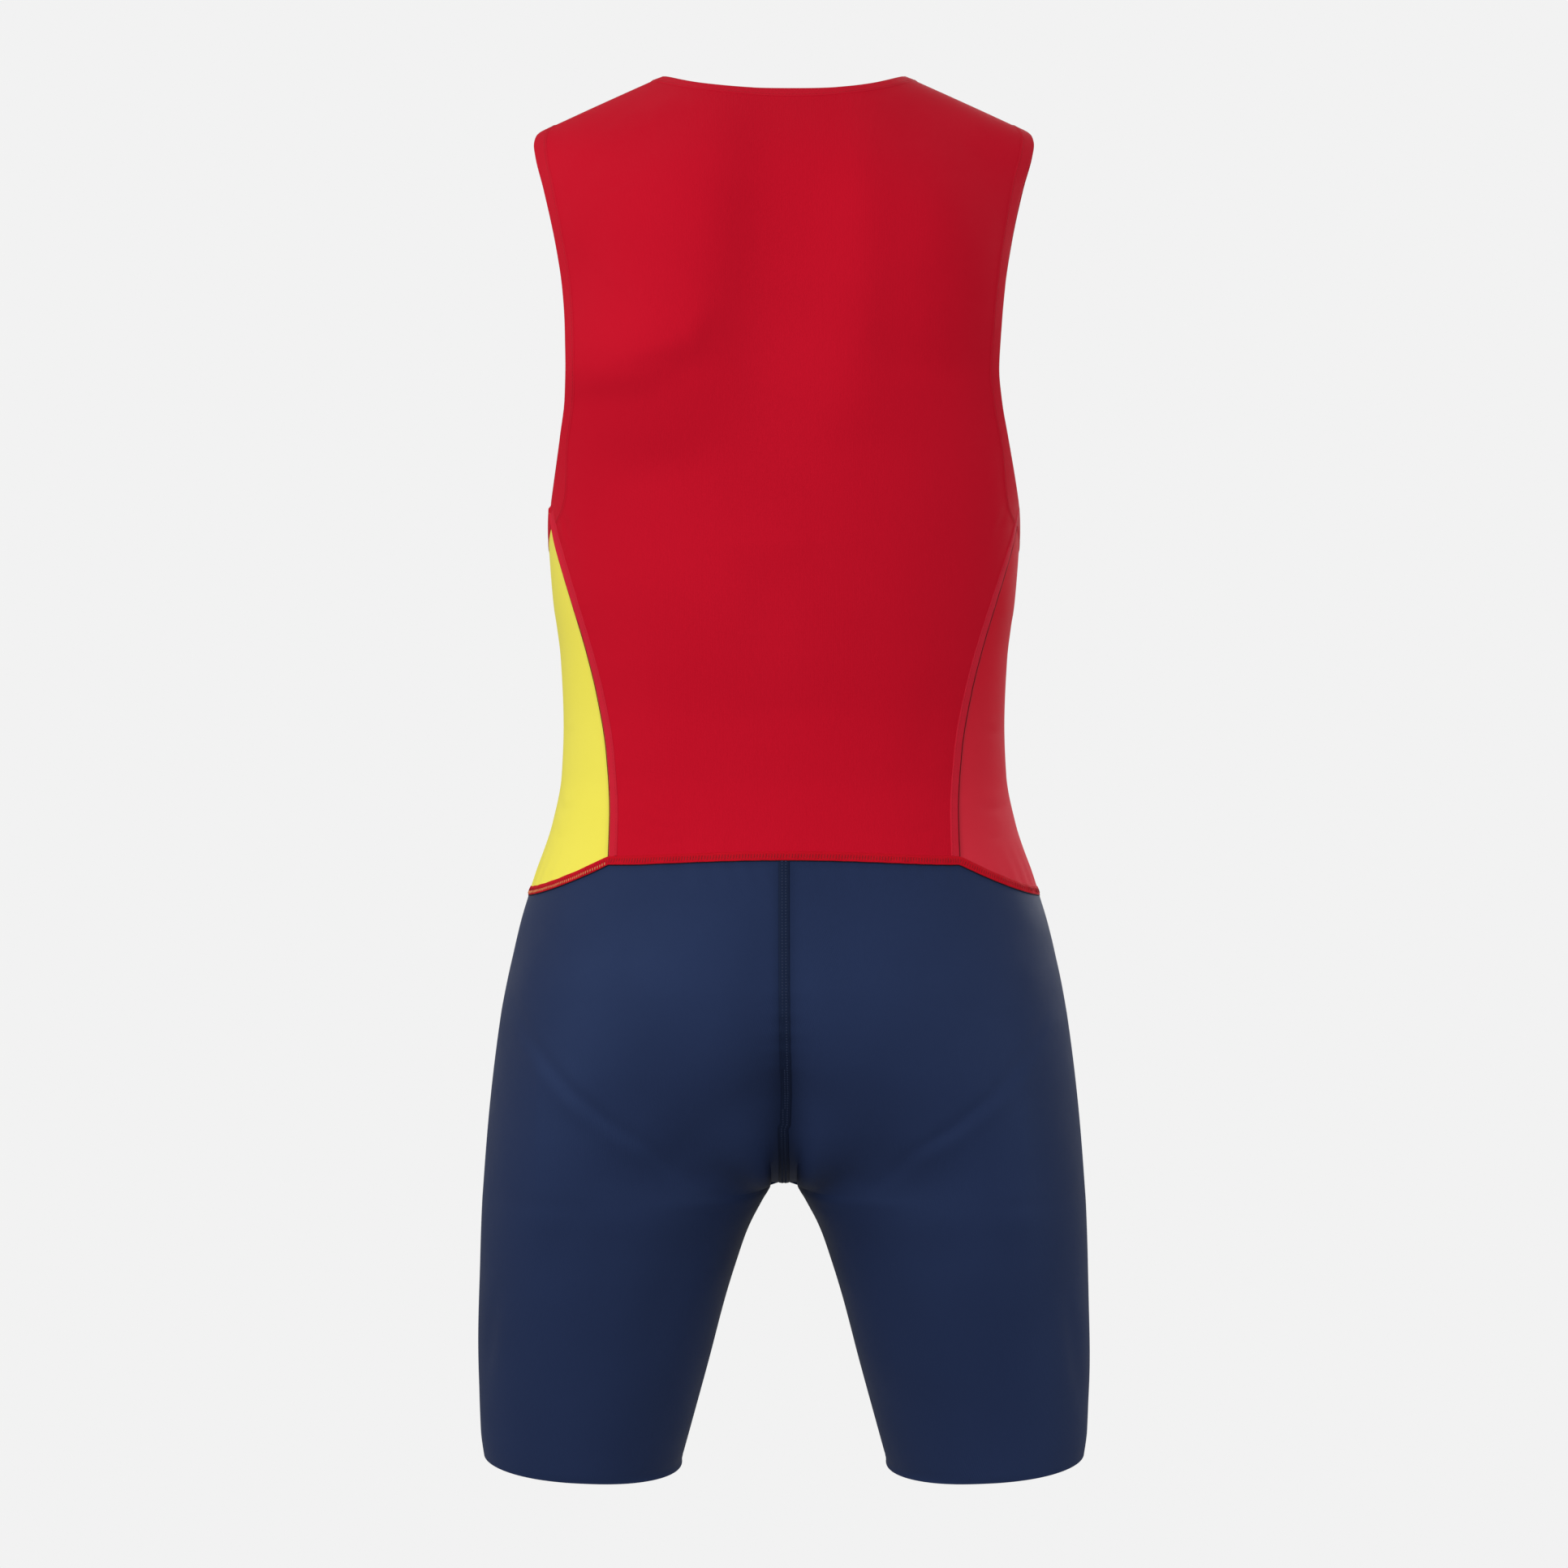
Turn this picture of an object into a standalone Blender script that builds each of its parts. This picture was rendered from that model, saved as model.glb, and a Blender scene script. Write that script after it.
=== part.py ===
"""Sleeveless one-piece sports suit, filled out as if worn.

Metres, +Z up. The front faces -Y and the wearer's left side is +X. The origin is where the wearer's
shoulders hold the suit: on the middle plane, halfway down the shoulder seams.
"""

import math
from typing import Callable, NamedTuple, Sequence

import bmesh
import bpy
from mathutils import Vector

COLLECTION = "sports_jumpsuit"

# Cloth
WALL = 0.0015
TRIM_WALL = 0.0010
SEAM_GAP = 0.0003
TRIM_LIFT = 0.0006
WELD = 0.00001

# Shoulders and neck
NECK_HALF = 0.0790
NECK_POINT_HEIGHT = 0.0153
SHOULDER_SLOPE = 0.4446
SHOULDER_ROUND = 0.1100
BACK_NECK_DROP = 0.0202
FRONT_NECK_DROP = 0.0800
BACK_NECK_POWER = 3.3
FRONT_NECK_POWER = 2.4
NECK_BAND_WIDTH = 0.0075

# Armholes
ARMHOLE_CORNER_HEIGHT = -0.2620
ARMHOLE_FLOOR_HEIGHT = -0.2825
ARMHOLE_FLOOR_POWER = 1.6
FRONT_ARMHOLE_CUT = 0.0060
FRONT_CUT_HEIGHT = -0.1650
FRONT_CUT_REACH = 0.0900
ARMHOLE_BAND_WIDTH = 0.0085
ARMHOLE_BAND_SPREAD = 0.45

# Waist seam: level across the back and the front, lower at the sides
WAIST_CENTRE_HEIGHT = -0.4812
WAIST_CORNER_HEIGHT = -0.4845
WAIST_SIDE_HEIGHT = -0.5055
WAIST_SIDE_POWER = 2.5
WAIST_TAPE_ABOVE = 0.0050
WAIST_TAPE_BELOW = 0.0010

# Shorts
CROTCH_HEIGHT = -0.6898
CROTCH_FLAT_HALF = 0.0080
SEAT_TURN_HEIGHT = -0.5600
HEM_HEIGHT = -0.8662
HEM_TILT = 0.0043
LEG_SQUARENESS = 2.15
SEAM_TURN_POWER = 0.5
THIGH_TURN_POWER = 1.5
THIGH_TURN_SHARE = 0.22
RISE_TAPE_HALF = 0.0034
RISE_TAPE_START = 0.0025

# Form of the trunk
SQUARENESS = 2.3
BLADE_SWELL = 0.0045
BLADE_OUT = 0.0860
BLADE_HEIGHT = -0.1180
BLADE_REACH_OUT = 0.0380
BLADE_REACH_UP = 0.0550
BLADE_REACH_DOWN = 0.0420
SPINE_HOLLOW = 0.0050
SPINE_REACH_OUT = 0.0300
SPINE_HEIGHT = -0.2300
SPINE_REACH_UP = 0.1100
NORMAL_STEP = 0.0010
RIDGE_CLEAR = 0.0015
SETTLE_ROUNDS = 8

# Side seams: cloth per radian of turn beside them, and the share of their gap that lies across the back
SEAM_RADIUS = 0.1100
SEAM_GAP_SHARE = 0.6

# Steps of the cloth grids
NECK_STEPS = 5
SHOULDER_STEPS = 4
BAND_SHARE_LIMIT = 0.25
SEARCH_ROUNDS = 14
SIDE_ROWS = 9
ARMHOLE_ROWS = 14
ARMHOLE_EASE = 1.6
SIDE_COLUMNS = 8
LEG_COLUMNS = 26
LEG_ROWS = 10
SEAT_ROWS = 9
HIP_ROWS = 4
NECK_BAND_STEPS = 26
WAIST_TAPE_STEPS = 84


class Section(NamedTuple):
    """One level of the trunk: half its width, and its depth behind and before the middle plane."""

    height: float
    half_width: float
    back: float
    front: float


class LegRing(NamedTuple):
    """One level of the left leg: outer and inner edges from the middle, and depths behind and before."""

    height: float
    outer: float
    inner: float
    back: float
    front: float


class Edge(NamedTuple):
    """A point of a cut edge or a seam: its height, and how far out from the middle it lies."""

    height: float
    out: float


TRUNK = (
    Section(0.040, 0.1850, 0.066, 0.050),
    Section(-0.020, 0.1760, 0.086, 0.066),
    Section(-0.060, 0.1640, 0.100, 0.082),
    Section(-0.100, 0.1565, 0.110, 0.096),
    Section(-0.140, 0.1535, 0.114, 0.104),
    Section(-0.190, 0.1528, 0.114, 0.108),
    Section(-0.240, 0.1520, 0.110, 0.108),
    Section(-0.282, 0.1502, 0.105, 0.105),
    Section(-0.316, 0.1477, 0.100, 0.102),
    Section(-0.357, 0.1425, 0.094, 0.099),
    Section(-0.399, 0.1408, 0.090, 0.097),
    Section(-0.430, 0.1420, 0.091, 0.097),
    Section(-0.461, 0.1479, 0.097, 0.098),
    Section(-0.492, 0.1583, 0.107, 0.100),
    Section(-0.524, 0.1680, 0.117, 0.102),
    Section(-0.565, 0.1776, 0.125, 0.103),
    Section(-0.607, 0.1838, 0.127, 0.103),
    Section(-0.650, 0.1885, 0.122, 0.101),
    Section(-0.690, 0.1917, 0.112, 0.098),
)

LEG = (
    LegRing(-0.560, 0.1765, 0.0080, 0.121, 0.103),
    LegRing(-0.607, 0.1838, 0.0080, 0.119, 0.103),
    LegRing(-0.650, 0.1885, 0.0080, 0.111, 0.100),
    LegRing(-0.690, 0.1917, 0.0080, 0.102, 0.096),
    LegRing(-0.700, 0.1924, 0.0130, 0.100, 0.094),
    LegRing(-0.721, 0.1933, 0.0234, 0.095, 0.090),
    LegRing(-0.742, 0.1939, 0.0307, 0.091, 0.086),
    LegRing(-0.763, 0.1943, 0.0372, 0.087, 0.082),
    LegRing(-0.804, 0.1947, 0.0480, 0.080, 0.075),
    LegRing(-0.846, 0.1936, 0.0595, 0.073, 0.068),
    LegRing(-0.867, 0.1908, 0.0653, 0.070, 0.065),
)

SIDE_SEAM = (
    Edge(-0.2620, 0.1486),
    Edge(-0.2820, 0.1445),
    Edge(-0.3050, 0.1376),
    Edge(-0.3240, 0.1315),
    Edge(-0.3540, 0.1223),
    Edge(-0.3810, 0.1155),
    Edge(-0.4160, 0.1095),
    Edge(-0.4560, 0.1069),
    Edge(-0.4845, 0.1072),
)

ARMHOLE = (
    Edge(-0.0180, 0.1539),
    Edge(-0.0236, 0.1577),
    Edge(-0.0300, 0.1586),
    Edge(-0.0393, 0.1571),
    Edge(-0.0633, 0.1506),
    Edge(-0.0972, 0.1425),
    Edge(-0.1290, 0.1367),
    Edge(-0.1600, 0.1335),
    Edge(-0.1800, 0.1325),
    Edge(-0.1996, 0.1347),
    Edge(-0.2187, 0.1388),
    Edge(-0.2378, 0.1431),
    Edge(-0.2620, 0.1486),
)


class Finish(NamedTuple):
    """Colour, roughness and metallic value of one cloth."""

    name: str
    colour: tuple[float, float, float, float]
    roughness: float
    metallic: float


RED = Finish("red_stretch_cloth", (0.48, 0.009, 0.019, 1.0), 0.55, 0.0)
PALE_RED = Finish("pale_red_stretch_cloth", (0.47, 0.024, 0.038, 1.0), 0.55, 0.0)
YELLOW = Finish("yellow_stretch_cloth", (0.80, 0.72, 0.07, 1.0), 0.55, 0.0)
NAVY = Finish("navy_stretch_cloth", (0.017, 0.028, 0.080, 1.0), 0.50, 0.0)
RED_BINDING = Finish("red_binding", (0.50, 0.011, 0.022, 1.0), 0.50, 0.0)
RED_TAPE = Finish("red_seam_tape", (0.53, 0.020, 0.016, 1.0), 0.60, 0.0)
NAVY_TAPE = Finish("navy_seam_tape", (0.008, 0.013, 0.040, 1.0), 0.60, 0.0)


class Profile:
    """A smooth curve through one column of a table of levels, with no overshoot between its rows."""

    def __init__(self, rows: Sequence[tuple], column: str) -> None:
        ordered = sorted(rows, key=lambda row: row.height)
        self.heights = [row.height for row in ordered]
        self.values = [getattr(row, column) for row in ordered]
        self.slopes = self.find_slopes()

    def find_slopes(self) -> list[float]:
        """Slope at each row: the weighted harmonic mean of its neighbours' slopes, and 0 at a turn."""
        runs = [b - a for a, b in zip(self.heights, self.heights[1:])]
        rises = [(b - a) / run for a, b, run in zip(self.values, self.values[1:], runs)]
        slopes = [rises[0]]
        for below, above, run_below, run_above in zip(rises, rises[1:], runs, runs[1:]):
            if below * above <= 0.0:
                slopes.append(0.0)
                continue
            weight_below = run_below + 2.0 * run_above
            weight_above = 2.0 * run_below + run_above
            slopes.append((weight_below + weight_above) / (weight_below / below + weight_above / above))
        slopes.append(rises[-1])
        return slopes

    def __call__(self, height: float) -> float:
        """Value at a height, held level past the ends of the table."""
        if height <= self.heights[0]:
            return self.values[0]
        if height >= self.heights[-1]:
            return self.values[-1]
        low = max(i for i, level in enumerate(self.heights[:-1]) if level <= height)
        run = self.heights[low + 1] - self.heights[low]
        t = (height - self.heights[low]) / run
        s = 1.0 - t
        start = (1.0 + 2.0 * t) * s * s * self.values[low] + t * s * s * run * self.slopes[low]
        end = (1.0 + 2.0 * s) * t * t * self.values[low + 1] - s * t * t * run * self.slopes[low + 1]
        return start + end


half_width = Profile(TRUNK, "half_width")
back_depth = Profile(TRUNK, "back")
front_depth = Profile(TRUNK, "front")
leg_outer = Profile(LEG, "outer")
leg_inner = Profile(LEG, "inner")
leg_back = Profile(LEG, "back")
leg_front = Profile(LEG, "front")
side_seam_out = Profile(SIDE_SEAM, "out")
armhole_out = Profile(ARMHOLE, "out")


def bell(distance: float, reach: float) -> float:
    """A smooth bump: 1 at its middle, and fading over its reach."""
    return math.exp(-((distance / reach) ** 2))


def smooth(share: float) -> float:
    """Ease from 0 to 1, level at both ends."""
    t = min(1.0, max(0.0, share))
    return t * t * (3.0 - 2.0 * t)


def power(value: float, exponent: float) -> float:
    """A power that keeps the sign of its base."""
    return math.copysign(abs(value) ** exponent, value)


# Form of the trunk


def shoulder_line(x: float) -> float:
    """Height of the top of the form: straight along each shoulder, and a low crown over the neck."""
    over = abs(x) - NECK_HALF
    if over >= 0.0:
        return NECK_POINT_HEIGHT - SHOULDER_SLOPE * over
    crown = SHOULDER_SLOPE * NECK_HALF / 2.0
    return NECK_POINT_HEIGHT + crown * (1.0 - (x / NECK_HALF) ** 2)


def fullness(x: float, z: float, inset: float = 0.0) -> float:
    """Share of the full depth that is left at a distance from the middle."""
    across = min(1.0, abs(x) / (half_width(z) - inset))
    return (1.0 - across**SQUARENESS) ** (1.0 / SQUARENESS)


def back_relief(x: float, z: float) -> float:
    """Low swell over each shoulder blade, and a shallow hollow down the middle of the back."""
    reach_up = BLADE_REACH_UP if z > BLADE_HEIGHT else BLADE_REACH_DOWN
    blade = bell(abs(x) - BLADE_OUT, BLADE_REACH_OUT) * bell(z - BLADE_HEIGHT, reach_up)
    spine = bell(x, SPINE_REACH_OUT) * bell(z - SPINE_HEIGHT, SPINE_REACH_UP)
    return BLADE_SWELL * blade - SPINE_HOLLOW * spine


def trunk_depth(x: float, z: float, back: bool, inset: float = 0.0) -> float:
    """Distance of the cloth from the middle plane, behind it or before it."""
    below_top = (shoulder_line(x) - inset - z) / SHOULDER_ROUND
    rounding = math.sqrt(1.0 - (1.0 - min(1.0, max(0.0, below_top))) ** 2)
    depth = (back_depth(z) if back else front_depth(z)) - inset
    relief = back_relief(x, z) if back else 0.0
    return (depth + relief) * fullness(x, z, inset) * rounding


def trunk_point(turn: float, z: float, inset: float = 0.0) -> Vector:
    """Point of the trunk at a turn from the left side: a quarter turn is the middle of the back."""
    x = (half_width(z) - inset) * power(math.cos(turn), 2.0 / SQUARENESS)
    back = math.sin(turn) >= 0.0
    depth = trunk_depth(x, z, back, inset)
    return Vector((x, depth if back else -depth, z))


def turn_at(x: float, z: float) -> float:
    """Turn from the side of the trunk to a distance from its middle, 0 to a quarter."""
    return math.acos(min(1.0, abs(x) / half_width(z)) ** (SQUARENESS / 2.0))


def top_height(x: float, y: float, inset: float) -> float:
    """Height of the form over a point near the shoulder seam."""
    ridge = shoulder_line(x) - inset
    z = ridge
    for _ in range(SETTLE_ROUNDS):
        full = (back_depth(z) if y >= 0.0 else front_depth(z)) - inset
        share = min(1.0, abs(y) / (full * fullness(x, z, inset)))
        z = ridge - SHOULDER_ROUND * (1.0 - math.sqrt(1.0 - share * share))
    return z


def outside_by(point: Vector, inset: float) -> float:
    """How far a point stands out from the form, measured across the middle plane."""
    return abs(point.y) - trunk_depth(point.x, point.z, point.y >= 0.0, inset)


def normal_on_trunk(point: Vector, inset: float) -> Vector:
    """Outward direction of the form at a point on it, at the back, the front or the shoulder seam."""
    sides = (1.0, -1.0) if abs(point.y) < RIDGE_CLEAR else (math.copysign(1.0, point.y),)
    total = Vector((0.0, 0.0, 0.0))
    for side in sides:
        away = Vector((point.x, side * max(abs(point.y), RIDGE_CLEAR), point.z))
        away.z = top_height(away.x, away.y, inset) if abs(point.y) < RIDGE_CLEAR else away.z
        slopes = []
        for axis in range(3):
            step = Vector((0.0, 0.0, 0.0))
            step[axis] = NORMAL_STEP / 2.0
            slopes.append(outside_by(away + step, inset) - outside_by(away - step, inset))
        total += Vector(slopes).normalized()
    return total.normalized()


def settle(point: Vector, normal: Vector, inset: float) -> Vector:
    """Put a point that lies near the form onto it, down the axis that its normal follows most."""
    x, y, z = point
    if abs(normal.z) > abs(normal.y):
        return Vector((x, y, top_height(x, y, inset)))
    return Vector((x, math.copysign(trunk_depth(x, z, y >= 0.0, inset), y), z))


# Cut edges and seams


def neck_edge(x: float, back: bool) -> float:
    """Height of the neck edge at a distance from the middle."""
    drop = BACK_NECK_DROP if back else FRONT_NECK_DROP
    exponent = BACK_NECK_POWER if back else FRONT_NECK_POWER
    return NECK_POINT_HEIGHT - drop * (1.0 - min(1.0, abs(x) / NECK_HALF) ** exponent)


def panel_edge_out(z: float, back: bool) -> float:
    """Distance from the middle to the edge of the back or front panel."""
    if z <= ARMHOLE_CORNER_HEIGHT:
        return side_seam_out(z)
    cut = 0.0 if back else FRONT_ARMHOLE_CUT * bell(z - FRONT_CUT_HEIGHT, FRONT_CUT_REACH)
    fade = smooth((z - ARMHOLE_CORNER_HEIGHT) / FRONT_CUT_REACH) * smooth(-z / FRONT_CUT_REACH)
    return armhole_out(z) - cut * fade


def side_turn(z: float) -> float:
    """Turn from the side to the side seams at a height."""
    return turn_at(side_seam_out(z), z)


WAIST_TURN = side_turn(WAIST_CORNER_HEIGHT)


def waist_seam(turn: float) -> float:
    """Height of the waist seam at a turn from either side, 0 to a quarter."""
    if turn < WAIST_TURN:
        share = (turn / WAIST_TURN) ** WAIST_SIDE_POWER
        return WAIST_SIDE_HEIGHT + (WAIST_CORNER_HEIGHT - WAIST_SIDE_HEIGHT) * share
    share = smooth((turn - WAIST_TURN) / (math.pi / 2.0 - WAIST_TURN))
    return WAIST_CORNER_HEIGHT + (WAIST_CENTRE_HEIGHT - WAIST_CORNER_HEIGHT) * share


def armhole_floor(share: float) -> float:
    """Height of the armhole under the arm, at a share of the way from the side to a side seam."""
    rise = ARMHOLE_CORNER_HEIGHT - ARMHOLE_FLOOR_HEIGHT
    return ARMHOLE_FLOOR_HEIGHT + rise * abs(share) ** ARMHOLE_FLOOR_POWER


def spans(*parts: tuple[float, int]) -> list[float]:
    """Fractions from 0, with a number of even steps up to the end of each part."""
    marks = [0.0]
    for end, steps in parts:
        start = marks[-1]
        marks += [start + (end - start) * (i + 1) / steps for i in range(steps)]
    return marks


SHOULDER_TIP = ARMHOLE[0]
NECK_SHARE = NECK_HALF / SHOULDER_TIP.out
TAPE_TOP_HEIGHT = WAIST_CORNER_HEIGHT + WAIST_TAPE_ABOVE
BAND_LOW_HEIGHT = ARMHOLE_CORNER_HEIGHT - ARMHOLE_BAND_WIDTH * (1.0 + ARMHOLE_BAND_SPREAD)
SEAM_HEIGHTS = [WAIST_CORNER_HEIGHT]
SEAM_HEIGHTS += [
    TAPE_TOP_HEIGHT + (BAND_LOW_HEIGHT - TAPE_TOP_HEIGHT) * i / SIDE_ROWS
    for i in range(SIDE_ROWS + 1)
]
SEAM_HEIGHTS += [ARMHOLE_CORNER_HEIGHT]
ARMHOLE_HEIGHTS = [
    SHOULDER_TIP.height
    + (ARMHOLE_CORNER_HEIGHT - SHOULDER_TIP.height) * (1.0 - (i + 1) / ARMHOLE_ROWS) ** ARMHOLE_EASE
    for i in range(ARMHOLE_ROWS)
]
PANEL_HEIGHTS = SEAM_HEIGHTS + ARMHOLE_HEIGHTS


# Making cloth


def dress(piece: bpy.types.Object, finish: Finish) -> None:
    """Give a piece its material."""
    material = bpy.data.materials.get(finish.name)
    if material is None:
        material = bpy.data.materials.new(finish.name)
        material.use_nodes = True
        shader = material.node_tree.nodes["Principled BSDF"]
        shader.inputs["Base Color"].default_value = finish.colour
        shader.inputs["Roughness"].default_value = finish.roughness
        shader.inputs["Metallic"].default_value = finish.metallic
    piece.data.materials.append(material)


def cloth(
    name: str,
    columns: int,
    rows: int,
    place: Callable[[int, int], Vector],
    finish: Finish,
    wall: float = WALL,
    outward: bool = True,
    left_out: Callable[[int, int], bool] = lambda column, row: False,
) -> bpy.types.Object:
    """Lay a flat grid on the form, weld the edges that meet, and give it its wall.

    Columns run anticlockwise seen from above and rows run up, so that the faces point out. Each cell is
    split along its shorter diagonal, the same way in a panel and in the band that lies on it.
    """
    net = bmesh.new()
    bmesh.ops.create_grid(net, x_segments=columns, y_segments=rows, size=0.5)
    dropped = []
    for face in net.faces:
        middle = face.calc_center_median()
        if left_out(math.floor((middle.x + 0.5) * columns), math.floor((middle.y + 0.5) * rows)):
            dropped.append(face)
    for vert in net.verts:
        vert.co = place(round((vert.co.x + 0.5) * columns), round((vert.co.y + 0.5) * rows))
    bmesh.ops.delete(net, geom=dropped, context="FACES")
    bmesh.ops.remove_doubles(net, verts=net.verts, dist=WELD)
    mesh = bpy.data.meshes.new(name)
    net.to_mesh(mesh)
    net.free()
    mesh.shade_smooth()
    piece = bpy.data.objects.new(name, mesh)
    bpy.data.collections[COLLECTION].objects.link(piece)
    thickness = piece.modifiers.new("wall", "SOLIDIFY")
    thickness.thickness = wall
    thickness.offset = 1.0 if outward else -1.0
    facets = piece.modifiers.new("facets", "TRIANGULATE")
    facets.quad_method = "SHORTEST_DIAGONAL"
    dress(piece, finish)
    return piece


# Back and front panels


def panel_out(share: float, edge_height: float, back: bool, inset: float) -> float:
    """Distance from the middle on the row that meets the panel's edge at a height.

    The shares are even across the shoulders, and even along the cloth from the armholes' foot down.
    """
    edge = panel_edge_out(edge_height, back)
    to_tip = (SHOULDER_TIP.height - edge_height) / (SHOULDER_TIP.height - ARMHOLE_CORNER_HEIGHT)
    edge -= inset * edge / half_width(edge_height) * min(1.0, to_tip)
    if edge_height <= ARMHOLE_CORNER_HEIGHT:
        edge -= SEAM_GAP * SEAM_GAP_SHARE
    turn = share * (math.pi / 2.0 - turn_at(edge, edge_height))
    curved = half_width(edge_height) * power(math.sin(turn), 2.0 / SQUARENESS)
    return share * edge + (curved - share * edge) * smooth(to_tip)


def panel_point(share: float, edge_height: float, back: bool, inset: float) -> Vector:
    """Point of the back or front panel, on the row that meets the panel's edge at a height."""
    climb = (edge_height - PANEL_HEIGHTS[0]) / (PANEL_HEIGHTS[-1] - PANEL_HEIGHTS[0])
    x_low = panel_out(share, WAIST_CORNER_HEIGHT, back, inset)
    bottom = waist_seam(turn_at(x_low, WAIST_CORNER_HEIGHT)) + SEAM_GAP / 2.0
    x_top = share * SHOULDER_TIP.out
    top = neck_edge(x_top, back) if abs(x_top) < NECK_HALF else shoulder_line(x_top)
    x = panel_out(share, edge_height, back, inset)
    z = bottom + (top - inset - bottom) * climb
    depth = trunk_depth(x, z, back, inset) + SEAM_GAP / 2.0
    return Vector((x, depth if back else -depth, z))


def band_share(edge_height: float, back: bool) -> float:
    """Share of the panel that lies under a band as wide as the armhole's, square to the panel's edge."""
    edge = panel_point(1.0, edge_height, back, WALL)
    high = min(edge_height + NORMAL_STEP, SHOULDER_TIP.height)
    along = panel_point(1.0, high, back, WALL) - panel_point(1.0, high - NORMAL_STEP, back, WALL)
    along.normalize()
    low_share, high_share = 0.0, BAND_SHARE_LIMIT
    for _ in range(SEARCH_ROUNDS):
        middle = (low_share + high_share) / 2.0
        reach = along.cross(panel_point(1.0 - middle, edge_height, back, WALL) - edge).length
        if reach < ARMHOLE_BAND_WIDTH:
            low_share = middle
        else:
            high_share = middle
    return (low_share + high_share) / 2.0


def make_panel(name: str, back: bool) -> None:
    """Build the back or the front panel, from the waist seam to the neck and the shoulder seams."""
    turn = -1.0 if back else 1.0
    shares = []
    for height in PANEL_HEIGHTS:
        under_band = band_share(height, back)
        half = spans((NECK_SHARE, NECK_STEPS), (1.0 - 2.0 * under_band, SHOULDER_STEPS), (1.0, 2))
        shares.append([-share for share in reversed(half[1:])] + half)

    def place(column: int, row: int) -> Vector:
        return panel_point(turn * shares[row][column], PANEL_HEIGHTS[row], back, WALL)

    cloth(name, len(shares[0]) - 1, len(PANEL_HEIGHTS) - 1, place, RED)


# Side panels


def side_panel_point(share: float, seam_height: float, inset: float) -> Vector:
    """Point of the left side panel: share is -1 at the front seam, 0 at the side and 1 at the back seam."""
    climb = (seam_height - SEAM_HEIGHTS[0]) / (SEAM_HEIGHTS[-1] - SEAM_HEIGHTS[0])
    dip_low = waist_seam(abs(share) * WAIST_TURN) + SEAM_GAP / 2.0 - WAIST_CORNER_HEIGHT
    dip_high = armhole_floor(share) - ARMHOLE_CORNER_HEIGHT
    z = seam_height + dip_low * (1.0 - climb) + dip_high * climb
    turn = share * (side_turn(seam_height) - SEAM_GAP / 2.0 / SEAM_RADIUS)
    return trunk_point(turn, z, inset)


def band_low_height(share: float) -> float:
    """Level of the side panel under the foot of the armhole's band: lower where the armhole is steeper."""
    return ARMHOLE_CORNER_HEIGHT - ARMHOLE_BAND_WIDTH * (1.0 + ARMHOLE_BAND_SPREAD * share * share)


def make_side_panel(name: str, side: int, finish: Finish) -> None:
    """Build the panel under one arm."""
    band_row = len(SEAM_HEIGHTS) - 2

    def place(column: int, row: int) -> Vector:
        share = 2.0 * column / SIDE_COLUMNS - 1.0
        height = band_low_height(share) if row == band_row else SEAM_HEIGHTS[row]
        point = side_panel_point(side * share, height, WALL)
        return Vector((side * point.x, point.y, point.z))

    cloth(name, SIDE_COLUMNS, len(SEAM_HEIGHTS) - 1, place, finish)


# Shorts


def seam_keep(z: float, share: float) -> float:
    """How much of the trunk's form is left at a height, where the seat turns under into the leg.

    The share is 0 or 1 at the centre seam and a half at the side.
    """
    fall = min(1.0, max(0.0, (SEAT_TURN_HEIGHT - z) / (SEAT_TURN_HEIGHT - CROTCH_HEIGHT)))
    from_seam = min(share, 1.0 - share) / THIGH_TURN_SHARE
    exponent = SEAM_TURN_POWER + (THIGH_TURN_POWER - SEAM_TURN_POWER) * smooth(from_seam)
    return (1.0 - fall * fall) ** exponent


def leg_point(share: float, z: float) -> Vector:
    """Point of the left leg's ring, from its inner edge round the front, the outer side and the back."""
    turn = 2.0 * math.pi * share
    middle = (leg_outer(z) + leg_inner(z)) / 2.0
    radius = (leg_outer(z) - leg_inner(z)) / 2.0
    depth = leg_front(z) if share < 0.5 else leg_back(z)
    x = middle - radius * power(math.cos(turn), 2.0 / LEG_SQUARENESS)
    y = -depth * power(math.sin(turn), 2.0 / LEG_SQUARENESS)
    return Vector((x, y, z))


def leg_depth(x: float, z: float, back: bool) -> float:
    """Distance of the left leg's ring from the middle plane, behind it or before it."""
    middle = (leg_outer(z) + leg_inner(z)) / 2.0
    radius = (leg_outer(z) - leg_inner(z)) / 2.0
    across = min(1.0, abs(x - middle) / radius)
    depth = leg_back(z) if back else leg_front(z)
    return depth * (1.0 - across**LEG_SQUARENESS) ** (1.0 / LEG_SQUARENESS)


def shorts_point(share: float, z: float) -> Vector:
    """Point of the left half of the shorts: share runs from 0 at the front seam to 1 at the back seam."""
    if z <= CROTCH_HEIGHT:
        return leg_point(share, z)
    start = turn_at(CROTCH_FLAT_HALF, z)
    keep = seam_keep(z, share)
    back = share > 0.5
    hip = trunk_point((2.0 * share - 1.0) * start, z)
    x = hip.x * keep + leg_point(share, z).x * (1.0 - keep)
    depth = trunk_depth(x, z, back) * keep + leg_depth(x, z, back) * (1.0 - keep)
    return Vector((x, depth if back else -depth, z))


def rise_climb(level: int) -> float:
    """Share of the way up the centre seam, from the crotch to the waist, at a row of the seat."""
    centre = WAIST_CENTRE_HEIGHT - CROTCH_HEIGHT
    turned = SEAT_TURN_HEIGHT - CROTCH_HEIGHT
    if level <= SEAT_ROWS:
        return turned * (1.0 - math.cos(math.pi / 2.0 * level / SEAT_ROWS)) / centre
    return (turned + (centre - turned) * (level - SEAT_ROWS) / HIP_ROWS) / centre


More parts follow.
